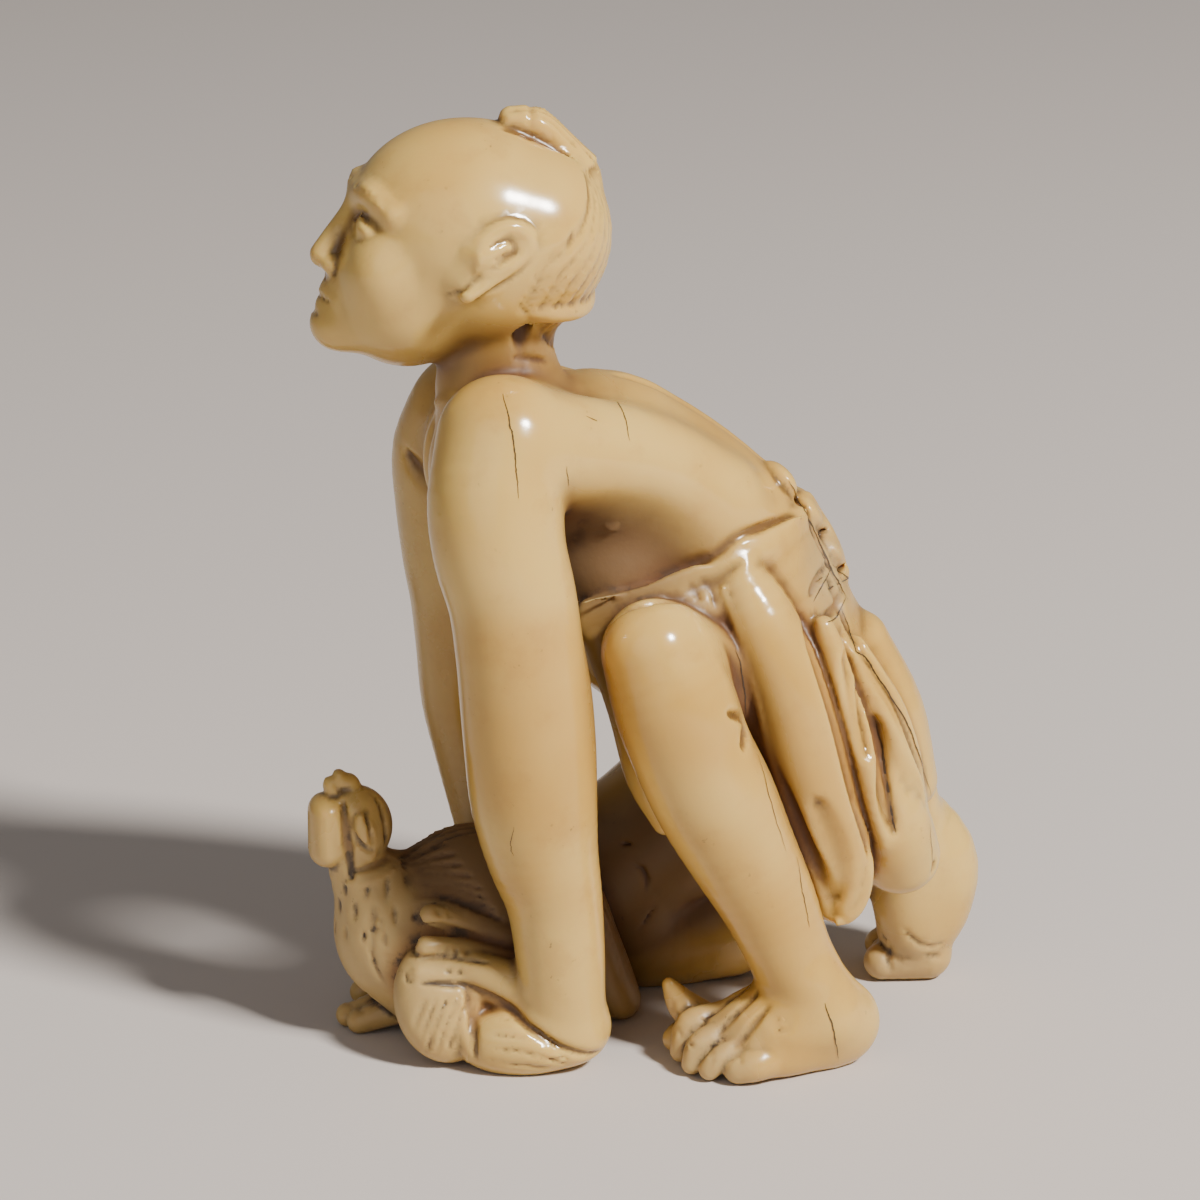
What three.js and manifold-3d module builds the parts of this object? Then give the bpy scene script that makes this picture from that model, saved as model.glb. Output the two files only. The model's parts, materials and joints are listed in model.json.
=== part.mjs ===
// An ivory netsuke about 44 mm tall: a crouching man presses a cockerel to the ground with both hands.
// It is carved from one piece, so it is one closed solid. The man faces -Y with his left side towards +X.
//
// The form is modelled as a carver thinks of it. Blobs and strands are added or carved away one after
// another, each with its own blend, into a field of signed distances. The zero surface of that field is
// skinned with tetrahedra, thinned to a workable number of triangles and cut flat where it stands.
// Lengths are in millimetres and angles in degrees. +Z is up.

import * as THREE from "three";
import { mergeVertices } from "three/addons/utils/BufferGeometryUtils.js";
import Module from "manifold-3d";

// Driving dimensions.
const GRID_STEP = 0.45; // spacing of the samples that the skin is drawn through
const TRIANGLES = 9000; // what the skin is thinned to
const SOLE_DEPTH = 3; // how far the cutting block reaches below the ground

const HEAD_CENTRE = [1.0, -6.7, 38.0];
const HEAD_PITCH = 18; // the face looks up by this much
const SKULL_RADII = [4.9, 5.9, 5.0];

const BODY = new THREE.Box3(new THREE.Vector3(-12, -17, -2), new THREE.Vector3(14, 22, 47));

// ---------------------------------------------------------------- clay: shapes with a signed distance

// A local frame: a place and three turns, about X, then Y, then Z.
function frameAt(place, turn = [0, 0, 0]) {
  const angles = turn.map(THREE.MathUtils.degToRad);
  const turned = new THREE.Quaternion().setFromEuler(new THREE.Euler(...angles));
  return new THREE.Matrix4().compose(new THREE.Vector3(...place), turned, new THREE.Vector3(1, 1, 1));
}

const WORLD = frameAt([0, 0, 0]);

// A ball stretched to three radii, then turned.
function blob(centre, radii, turn = [0, 0, 0], frame = WORLD) {
  const pose = frame.clone().multiply(frameAt(centre, turn));
  const e = pose.clone().invert().elements;
  const [rx, ry, rz] = radii;
  const reach = Math.max(rx, ry, rz);
  const middle = new THREE.Vector3().setFromMatrixPosition(pose);
  const box = new THREE.Box3(middle.clone().subScalar(reach), middle.clone().addScalar(reach));
  const distance = (x, y, z) => {
    const px = (e[0] * x + e[4] * y + e[8] * z + e[12]) / rx;
    const py = (e[1] * x + e[5] * y + e[9] * z + e[13]) / ry;
    const pz = (e[2] * x + e[6] * y + e[10] * z + e[14]) / rz;
    const near = Math.hypot(px, py, pz);
    const slope = Math.hypot(px / rx, py / ry, pz / rz) + 1e-9;
    return (near * (near - 1)) / slope;
  };
  return { box, distance };
}

// A cord of clay along a smooth path, with a radius at each point. It can be made wide along one axis.
function strand(points, radii, { wide = null, frame = WORLD, steps = 4 } = {}) {
  const axis = wide ? new THREE.Vector3(...wide.axis).normalize() : new THREE.Vector3(1, 0, 0);
  const squeeze = wide ? 1 / wide.ratio - 1 : 0;
  const narrow = (p) => p.addScaledVector(axis, squeeze * p.dot(axis));
  const path = new THREE.CatmullRomCurve3(
    points.map((p) => new THREE.Vector3(...p).applyMatrix4(frame)), false, "catmullrom", 0.5);
  const girth = new THREE.CatmullRomCurve3(
    radii.map((r) => new THREE.Vector3(r, 0, 0)), false, "catmullrom", 0.5);
  const count = (points.length - 1) * steps;
  const box = new THREE.Box3();
  const links = [];
  for (let i = 0; i <= count; i++) {
    const p = path.getPoint(i / count);
    const r = Math.max(0.02, girth.getPoint(i / count).x);
    box.expandByPoint(p.clone().addScalar(r / (1 + squeeze)));
    box.expandByPoint(p.clone().subScalar(r / (1 + squeeze)));
    links.push({ ...narrow(p), r });
  }
  const segments = links.slice(1).map((b, i) => {
    const a = links[i];
    const d = { x: b.x - a.x, y: b.y - a.y, z: b.z - a.z };
    return [a.x, a.y, a.z, a.r, d.x, d.y, d.z, b.r - a.r, d.x * d.x + d.y * d.y + d.z * d.z + 1e-12];
  });
  const distance = (x, y, z) => {
    const slide = squeeze * (x * axis.x + y * axis.y + z * axis.z);
    const [qx, qy, qz] = [x + slide * axis.x, y + slide * axis.y, z + slide * axis.z];
    let nearest = Infinity;
    for (const [ax, ay, az, ar, dx, dy, dz, dr, dd] of segments) {
      const t = Math.min(1, Math.max(0, ((qx - ax) * dx + (qy - ay) * dy + (qz - az) * dz) / dd));
      const gap = Math.hypot(qx - ax - t * dx, qy - ay - t * dy, qz - az - t * dz) - ar - t * dr;
      if (gap < nearest) nearest = gap;
    }
    return nearest;
  };
  return { box, distance };
}

// What the carver does, in order.
const work = [];
const add = (shape, blend = 0.5) => work.push({ shape, blend, carve: false });
const carve = (shape, blend = 0.3) => work.push({ shape, blend, carve: true });

// ---------------------------------------------------------------- the man

function torso() {
  const spine = [[0.3, -4.2, 27.4], [0.3, -0.4, 27.1], [0.3, 1.5, 26.3], [0.3, 4.2, 24.3],
    [0.2, 6.2, 21.9], [0.1, 7.7, 17.7], [0, 9.0, 14.0], [0, 9.4, 11.0]];
  add(strand(spine, [3.3, 4.1, 4.1, 4.1, 4.2, 4.8, 5.3, 5.2], { wide: { axis: [1, 0, 0], ratio: 1.35 } }));
  add(blob([0.3, -4.6, 27.2], [6.2, 3.4, 4.0]), 1.2); // chest
  add(blob([0.3, 0.6, 22.6], [5.2, 4.3, 3.8], [-20, 0, 0]), 1.0); // belly
  add(strand([[-5.4, -5.2, 28.0], [0.3, -3.4, 29.0], [6.0, -5.2, 29.6]], [2.6, 2.5, 2.8]), 1.0);
  for (const [side, drop] of [[1, 0], [-1, 0.9]]) {
    const blade = [[6.0, -4.8, 29.3], [5.1, -1.6, 28.8], [4.4, 1.6, 27.8], [3.7, 4.6, 25.9]];
    add(strand(blade.map(([x, y, z]) => [0.3 + side * (x - 0.3), y, z - drop]), [2.6, 2.5, 2.3, 2.1]), 0.9);
    carve(blob([0.3 + side * 8.4, 1.2, 24.4 - drop], [2.9, 4.2, 2.9], [-20, 0, 0]), 0.9); // hollow flank
  }
}

function pelvisAndRobe() {
  add(blob([0, 3.0, 18.4], [6.0, 4.8, 3.3], [-8, 0, 0]), 1.0); // lap
  add(strand([[-3, 9, 12.6], [-3.9, 4.6, 8.2], [-4.2, 1.6, 6.0]], [4.2, 3.9, 3.6]), 0.8); // far thigh
  add(strand([[-4.2, 1.4, 4.8], [-4.2, 3.0, 2.6], [-4.0, 6.8, 2.5]], [3.3, 3.0, 2.5]), 0.8); // far knee
  add(strand([[-4.0, 6.8, 3.0], [-3.6, 10.4, 5.0], [-2.6, 13.4, 7.4]], [2.6, 2.5, 2.4]), 0.8); // far shin
  // The band round the waist, and the knot and loose ends behind.
  const band = [[5.1, -1.6, 21.1], [5.8, 0.8, 22.0], [6.0, 3.4, 22.8], [5.4, 6.2, 23.7], [3.1, 8.5, 24.2],
    [0, 9.5, 24.2], [-3.3, 8.5, 23.8], [-5.4, 5.6, 23.0], [-5.3, 2.4, 22.2], [-3.6, -0.4, 21.4]];
  add(strand(band, band.map(() => 0.45), { wide: { axis: [0, 0.1, 1], ratio: 2.0 } }), 0.25);
  add(strand([[0.9, 9.3, 24.8], [1.0, 10.1, 23.2], [1.0, 10.9, 21.4]], [0.5, 0.7, 0.6]), 0.3);
  for (const [y, z] of [[8.1, 26.0], [9.3, 24.4], [10.3, 22.6]]) {
    add(blob([0.9, y, z], [1.5, 0.55, 1.0], [35, 0, 12]), 0.3);
  }
  // Deep folds hang from the near hip.
  add(blob([5.0, 3.6, 21.6], [1.9, 2.2, 1.6]), 0.4); // the cloth gathered behind the knee
  add(strand([[5.4, 5.2, 22.8], [6.1, 6.2, 20.8], [6.6, 7.4, 18.0], [6.7, 8.2, 15.1], [6.6, 9.1, 12.0],
    [6.2, 9.9, 9.0], [5.9, 10.1, 7.4]], [1.3, 1.7, 1.85, 1.95, 1.9, 1.6, 1.3]), 0.3);
  add(strand([[5.9, 9.2, 20.4], [6.3, 9.8, 18.6], [6.6, 10.4, 16.0], [6.6, 11.0, 13.4],
    [5.9, 11.7, 10.2]], [0.5, 0.65, 0.75, 0.8, 0.8]), 0.2);
  add(strand([[5.0, 11.7, 12.6], [4.4, 12.7, 10.2], [3.6, 13.5, 8.4]], [1.5, 2.0, 1.9]), 0.6); // its end
  add(strand([[4.9, 10.7, 19.2], [5.1, 11.5, 17.4], [5.0, 12.2, 15.6], [4.5, 13.0, 12.8],
    [3.8, 13.6, 10.8]], [0.6, 0.9, 1.2, 1.35, 1.1]), 0.25);
  add(strand([[1.6, 12.0, 18.4], [1.6, 13.4, 15.0], [1.4, 14.2, 11.4]], [1.2, 1.5, 1.5],
    { wide: { axis: [1, 0, 0], ratio: 1.5 } }), 0.4);
  // The hem in front of the thigh.
  add(strand([[4.9, -1.0, 20.2], [4.7, 0.2, 16.6], [5.1, 1.1, 13.4], [5.7, 2.0, 11.4]],
    [0.7, 0.7, 0.8, 0.6]), 0.3);
}

function nearLeg() {
  add(strand([[7.4, 1.6, 20.0], [5.4, 4.6, 18.2], [3.8, 8.0, 16.4]], [2.3, 2.3, 2.6]), 0.3);
  add(strand([[7.8, 1.1, 20.2], [8.1, 1.9, 18.0], [8.2, 2.7, 15.7], [8.2, 3.8, 13.3], [8.1, 5.0, 10.8],
    [8.0, 6.3, 8.2], [8.0, 7.3, 5.7], [8.0, 8.1, 3.9]], [2.4, 2.75, 2.72, 2.75, 2.5, 2.2, 1.95, 2.0]), 0.3);
  // A deep cut parts the leg from the robe.
  const cut = [[8.0, 3.9, 22.0], [8.0, 4.6, 20.2], [7.9, 5.1, 18.4], [7.9, 5.5, 16.6], [7.9, 6.1, 15.0],
    [7.9, 7.1, 13.0], [7.7, 8.0, 11.0], [7.5, 8.9, 8.8], [7.2, 9.5, 6.8]];
  carve(strand(cut, [0.2, 0.35, ...cut.slice(2).map(() => 0.45)]), 0.25);
  // Foot.
  add(blob([7.6, 9.3, 1.9], [1.9, 2.4, 2.2]), 0.9);
  add(strand([[7.9, 8.4, 2.6], [7.9, 6.4, 2.0], [7.4, 4.8, 1.4]], [2.0, 1.9, 1.5],
    { wide: { axis: [0.85, 0.5, 0], ratio: 1.25 } }), 0.8);
  add(strand([[9.4, 5.6, 0.95], [9.0, 7.2, 0.95], [8.2, 8.8, 1.1]], [0.85, 0.95, 1.1]), 0.6); // outer edge
  const toes = [ // root, knuckle and tip, with their radii, from the little toe inwards
    [[[9.5, 6.0, 1.0], [9.7, 5.4, 0.9], [9.6, 4.7, 0.7]], [0.85, 0.8, 0.7]],
    [[[8.9, 5.0, 1.4], [9.1, 3.9, 1.0], [9.1, 3.45, 0.55]], [0.7, 0.6, 0.5]],
    [[[8.0, 4.4, 1.8], [8.2, 3.2, 1.4], [8.3, 2.8, 0.55]], [0.75, 0.62, 0.5]],
    [[[6.8, 4.4, 2.1], [6.9, 3.0, 1.85], [7.1, 2.5, 0.7]], [0.8, 0.72, 0.5]],
    [[[5.7, 4.0, 1.0], [5.7, 3.0, 0.9], [5.8, 2.5, 0.8]], [1.0, 0.8, 0.6]],
    [[[5.7, 3.8, 1.6], [5.7, 2.9, 2.4], [5.8, 2.2, 3.5]], [0.9, 0.75, 0.35]],
  ];
  for (const [places, radii] of toes) add(strand(places, radii), 0.12);
}

function farFoot() {
  add(strand([[-2.6, 14.8, 8.4], [-2.4, 16.3, 6.0], [-2.4, 16.3, 4.0], [-2.3, 15.9, 2.4]],
    [1.9, 2.35, 2.3, 1.9]), 0.5); // heel
  add(strand([[-1.6, 14.6, 9.6], [-1.5, 15.0, 7.0], [-1.6, 15.2, 4.6], [-1.7, 15.4, 2.8]],
    [1.9, 1.9, 1.8, 1.5]), 0.6); // ankle
  add(strand([[-1.9, 14.1, 0.9], [-1.9, 16.2, 1.2]], [0.9, 1.3]), 0.2); // big toe
  for (const x of [-3.3, -4.5]) add(strand([[x, 14.6, 0.8], [x, 16.2, 1.3]], [0.75, 1.2]), 0.15);
}

function arms() {
  const near = [[6.0, -5.6, 29.9], [6.9, -5.9, 27.4], [7.4, -5.8, 25.2], [7.7, -5.3, 23.0],
    [7.8, -5.0, 20.7], [7.7, -4.7, 18.3], [7.6, -4.5, 15.9], [7.3, -4.3, 13.4], [7.0, -3.9, 10.9],
    [6.7, -3.3, 8.4], [6.5, -3.0, 5.8], [6.2, -2.8, 3.2], [6.0, -2.3, 1.9]];
  add(strand(near, [2.7, 3.0, 2.95, 2.85, 2.85, 2.95, 2.95, 2.85, 2.55, 2.2, 2.05, 1.95, 1.75]), 0.7);
  const far = [[-5.2, -5.4, 28.0], [-6.1, -5.7, 26.2], [-6.4, -5.6, 23.9], [-6.5, -5.3, 21.0],
    [-6.6, -5.0, 19.0], [-6.6, -4.8, 16.5], [-6.5, -4.7, 14.0], [-6.2, -4.4, 11.5], [-5.8, -4.1, 9.0],
    [-5.3, -3.6, 6.2], [-4.8, -3.0, 3.6], [-4.6, -2.6, 1.9]];
  add(strand(far, [2.6, 3.0, 3.0, 2.95, 2.9, 2.85, 2.75, 2.5, 2.2, 2.0, 1.9, 1.7]), 0.7);
}

function hands() {
  add(strand([[6.0, -2.6, 2.4], [5.9, -4.2, 3.5], [5.2, -6.2, 4.2], [4.7, -7.6, 4.7]],
    [1.5, 1.2, 1.0, 0.8], { wide: { axis: [0.5, -0.2, 0.85], ratio: 1.25 } }), 0.4);
  add(strand([[-4.6, -2.6, 2.4], [-4.5, -4.2, 3.5], [-4.0, -6.2, 4.2], [-3.5, -7.4, 4.7]],
    [1.5, 1.2, 1.0, 0.8], { wide: { axis: [-0.5, -0.2, 0.85], ratio: 1.25 } }), 0.4);
  const fingers = [
    [[4.2, -5.0, 5.7], [3.9, -6.9, 6.4], [4.1, -8.6, 7.0]],
    [[4.9, -4.8, 4.7], [4.6, -6.8, 5.3], [4.7, -8.9, 5.7]],
    [[5.3, -5.0, 3.9], [5.1, -7.4, 4.3], [5.0, -9.2, 4.5]],
  ];
  for (const finger of fingers) {
    add(strand(finger, [0.6, 0.55, 0.5]), 0.15);
    add(strand(finger.map(([x, y, z]) => [1.2 - x, y, z]), [0.6, 0.55, 0.5]), 0.15);
  }
}

// ---------------------------------------------------------------- the head, in a frame that looks up

function head() {
  const frame = frameAt(HEAD_CENTRE, [-HEAD_PITCH, 0, 0]);
  const lump = (centre, radii, turn) => blob(centre, radii, turn, frame);
  const cord = (points, radii, more = {}) => strand(points, radii, { ...more, frame });
  const both = (make) => [1, -1].forEach(make);

  add(strand([[0.9, -4.7, 30.4], [1.0, -4.9, 32.4], [1.0, -5.0, 35.0]], [3.0, 2.65, 2.8]), 0.6); // neck
  add(lump([0, 0.9, 0.4], SKULL_RADII), 0.5);
  add(lump([0, 2.9, 1.0], [4.7, 4.0, 4.25]), 0.4); // hair at the back of the head
  add(lump([0, -1.4, -2.6], [3.7, 3.6, 3.8]), 0.8); // jaw
  add(lump([0, -3.85, -5.3], [1.5, 1.3, 1.2]), 0.9); // chin
  both((s) => add(lump([s * 2.1, -3.0, -2.0], [1.6, 1.5, 1.7]), 0.9)); // cheeks
  both((s) => add(cord([[s * 0.6, -4.7, 0.7], [s * 1.9, -4.5, 1.0], [s * 3.1, -3.6, 0.6]],
    [0.4, 0.45, 0.35]), 0.7)); // brows
  both((s) => carve(lump([s * 1.85, -5.3, -0.4], [1.1, 0.8, 0.62]), 0.5)); // eye sockets
  both((s) => add(lump([s * 1.8, -4.05, -0.5], [0.95, 0.75, 0.55]), 0.2));
  add(cord([[0, -4.6, 0.5], [0, -5.15, -1.2], [0, -5.45, -2.45]], [0.4, 0.48, 0.6]), 0.5); // nose
  both((s) => add(lump([s * 0.6, -5.0, -2.7], [0.42, 0.5, 0.4]), 0.3));
  add(lump([0, -3.9, -3.8], [1.5, 1.0, 1.3]), 0.6); // mouth
  add(cord([[-1.25, -4.35, -4.05], [0, -4.85, -3.95], [1.25, -4.35, -4.05]], [0.2, 0.3, 0.2]), 0.25);
  add(cord([[-1.05, -4.3, -4.45], [0, -4.75, -4.55], [1.05, -4.3, -4.45]], [0.2, 0.33, 0.2]), 0.25);
  // Ears.
  both((s) => {
    const rim = [[0.3, 0.9], [0.7, 1.5], [1.4, 1.8], [2.1, 1.6], [2.3, 0.9], [1.9, 0.1], [1.2, -0.7],
      [0.3, -1.6]];
    add(lump([s * 4.2, 1.0, 0], [0.85, 1.2, 2.1], [-35, 0, 0]), 0.5);
    add(cord(rim.map(([y, z]) => [s * (4.85 - 0.1 * y), y, z]),
      [0.25, 0.3, 0.35, 0.35, 0.3, 0.3, 0.35, 0.4]), 0.2);
    carve(lump([s * 5.15, 1.2, 0.5], [0.6, 0.35, 0.8], [-55, 0, 0]), 0.2);
  });
  // Topknot laid forward over the crown.
  add(cord([[0, 4.9, 4.3], [0, 3.4, 5.2], [0, 2.0, 5.8], [0, 0.8, 5.7]], [0.8, 0.7, 0.75, 0.55],
    { wide: { axis: [1, 0, 0], ratio: 1.3 } }), 0.25);
  // The nape stands clear of the neck, with a deep groove in front of it.
  const groove = [[2.9, -4.1, 35.0], [2.8, -4.2, 33.8], [2.9, -4.0, 32.4]];
  both((s) => carve(strand(groove.map(([x, y, z]) => [0.9 + s * x, y, z]), [0.5, 0.45, 0.3]), 0.2));
  // Ridge where the hair ends above the neck.
  const hairline = [-75, -50, -25, 0, 25, 50, 75].map((turn) => {
    const angle = THREE.MathUtils.degToRad(turn);
    const [across, behind] = [Math.sin(angle), Math.cos(angle)];
    return [3.6 * across, 2.6 + 3.9 * behind, -1.05 - 0.7 * Math.abs(across)];
  });
  add(cord(hairline, [0.3, 0.42, 0.42, 0.42, 0.42, 0.42, 0.3]), 0.35);
}

// ---------------------------------------------------------------- the bird

function bird() {
  const mirror = (value) => 1.2 - value;
  add(blob([0.6, -6.2, 4.4], [4.1, 5.5, 4.7]), 0.5);
  add(blob([0.9, -5.9, 6.0], [3.2, 4.6, 4.1]), 0.8); // back
  add(blob([1.2, -10.1, 5.5], [2.4, 2.6, 3.5]), 0.6); // breast
  add(strand([[1.1, -9.6, 6.0], [1.3, -11.2, 8.0], [1.4, -11.7, 9.6]], [2.1, 1.6, 1.25]), 0.7); // neck
  add(blob([1.5, -11.7, 10.6], [1.5, 1.75, 1.95]), 0.15); // head
  add(strand([[1.5, -13.0, 11.4], [1.5, -13.0, 9.6]], [0.85, 0.85],
    { wide: { axis: [1, 0, 0], ratio: 1.5 } }), 0.2); // its worn face
  add(strand([[1.5, -12.8, 12.4], [1.5, -12.3, 12.8], [1.5, -11.8, 12.5]], [0.42, 0.45, 0.42]), 0.15); // comb
  for (const x of [2.6, 0.4]) add(blob([x, -11.4, 10.3], [0.45, 0.5, 1.1], [20, 0, 0]), 0.1); // ear lobes
  // The tail droops to the ground between the man's wrists.
  add(strand([[0.6, -3.4, 7.2], [0.6, -1.6, 6.0], [0.7, -0.6, 4.2], [0.7, 0.2, 2.4], [0.7, 0.8, 1.0]],
    [1.8, 1.6, 1.3, 1.15, 1.0], { wide: { axis: [1, 0, 0], ratio: 1.5 } }), 0.6);
  for (const side of [(value) => value, mirror]) {
    const tilt = side === mirror ? 15 : -15;
    add(blob([side(4.7), -8.1, 3.0], [1.5, 2.3, 2.9], [10, tilt, 0]), 0.25); // front of the wing
    add(blob([side(6.3), -4.6, 1.5], [1.6, 3.2, 1.7], [6, 0, tilt]), 0.2); // its long feathers
  }
  for (const [x, y] of [[0.5, -11.5], [-0.4, -11.9], [-3.2, -10.9], [-4.2, -10.4]]) {
    add(strand([[x + 0.2, y + 2.2, 1.2], [x, y, 0.55]], [0.7, 0.6]), 0.15); // claws
  }
}

// ---------------------------------------------------------------- from clay to a closed mesh

// Samples the field on a regular grid. Positive is outside.
function sample(box, step) {
  const size = box.getSize(new THREE.Vector3());
  const n = [size.x, size.y, size.z].map((s) => Math.ceil(s / step) + 1);
  const values = new Float32Array(n[0] * n[1] * n[2]).fill(4);
  const axes = ["x", "y", "z"];
  for (const { shape, blend, carve: away } of work) {
    const grown = shape.box.clone().expandByScalar(blend + 2 * step);
    const low = axes.map((a) => Math.max(0, Math.floor((grown.min[a] - box.min[a]) / step)));
    const high = axes.map((a, i) => Math.min(n[i] - 1, Math.ceil((grown.max[a] - box.min[a]) / step)));
    for (let k = low[2]; k <= high[2]; k++) {
      for (let j = low[1]; j <= high[1]; j++) {
        for (let i = low[0]; i <= high[0]; i++) {
          const at = i + n[0] * (j + n[1] * k);
          const own = shape.distance(box.min.x + i * step, box.min.y + j * step, box.min.z + k * step);
          const soft = Math.max(0, blend - Math.abs(values[at] - (away ? -own : own))) ** 2 / (4 * blend);
          values[at] = away ? Math.max(values[at], -own) + soft : Math.min(values[at], own) - soft;
        }
      }
    }
  }
  return { values, n, origin: box.min, step };
}

// The zero surface of the samples: each grid cube is six tetrahedra round its diagonal.
function skin({ values, n, origin, step }) {
  const [strideY, strideZ] = [n[0], n[0] * n[1]];
  const corner = [[1, 0, 0], [0, 1, 0], [0, 0, 1]];
  const orders = [[0, 1, 2], [1, 2, 0], [2, 0, 1], [0, 2, 1], [2, 1, 0], [1, 0, 2]];
  const offset = ([x, y, z]) => x + y * strideY + z * strideZ;
  const tetrahedra = orders.map((order, index) => {
    const one = corner[order[0]];
    const two = one.map((c, i) => c + corner[order[1]][i]);
    const chain = [0, offset(one), offset(two), offset([1, 1, 1])];
    return index < 3 ? chain : [chain[0], chain[2], chain[1], chain[3]]; // all the same hand
  });
  const even = [[0, 1, 2, 3], [0, 2, 3, 1], [0, 3, 1, 2], [1, 0, 3, 2], [1, 2, 0, 3], [1, 3, 2, 0],
    [2, 0, 1, 3], [2, 1, 3, 0], [2, 3, 0, 1], [3, 0, 2, 1], [3, 1, 0, 2], [3, 2, 1, 0]];
  const known = new Map();
  const positions = [];
  const triangles = [];
  const crossing = (a, b) => {
    const [low, high] = a < b ? [a, b] : [b, a];
    const key = low * 16777216 + (high - low);
    if (!known.has(key)) {
      const share = Math.min(0.9, Math.max(0.1, values[low] / (values[low] - values[high])));
      const place = (s) => [s % strideY, Math.floor((s % strideZ) / strideY), Math.floor(s / strideZ)];
      const [p, q] = [place(low), place(high)];
      known.set(key, positions.length / 3);
      positions.push(...["x", "y", "z"].map((c, i) => origin[c] + step * (p[i] + share * (q[i] - p[i]))));
    }
    return known.get(key);
  };
  for (let k = 0; k < n[2] - 1; k++) {
    for (let j = 0; j < n[1] - 1; j++) {
      for (let i = 0; i < n[0] - 1; i++) {
        const base = i + j * strideY + k * strideZ;
        for (const chain of tetrahedra) {
          const s = chain.map((c) => base + c);
          const inside = s.map((c) => values[c] < 0);
          const count = inside.filter(Boolean).length;
          if (count === 0 || count === 4) continue;
          const [a, b, c, d] = even
            .find((e) => e.every((v, place) => inside[v] === place < count))
            .map((v) => s[v]);
          if (count === 1) triangles.push([crossing(a, b), crossing(a, c), crossing(a, d)]);
          if (count === 3) triangles.push([crossing(d, a), crossing(d, c), crossing(d, b)].reverse());
          if (count === 2) {
            const [ac, ad, bd, bc] = [crossing(a, c), crossing(a, d), crossing(b, d), crossing(b, c)];
            triangles.push([ac, ad, bd], [ac, bd, bc]);
          }
        }
      }
    }
  }
  return { positions, triangles };
}

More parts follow.
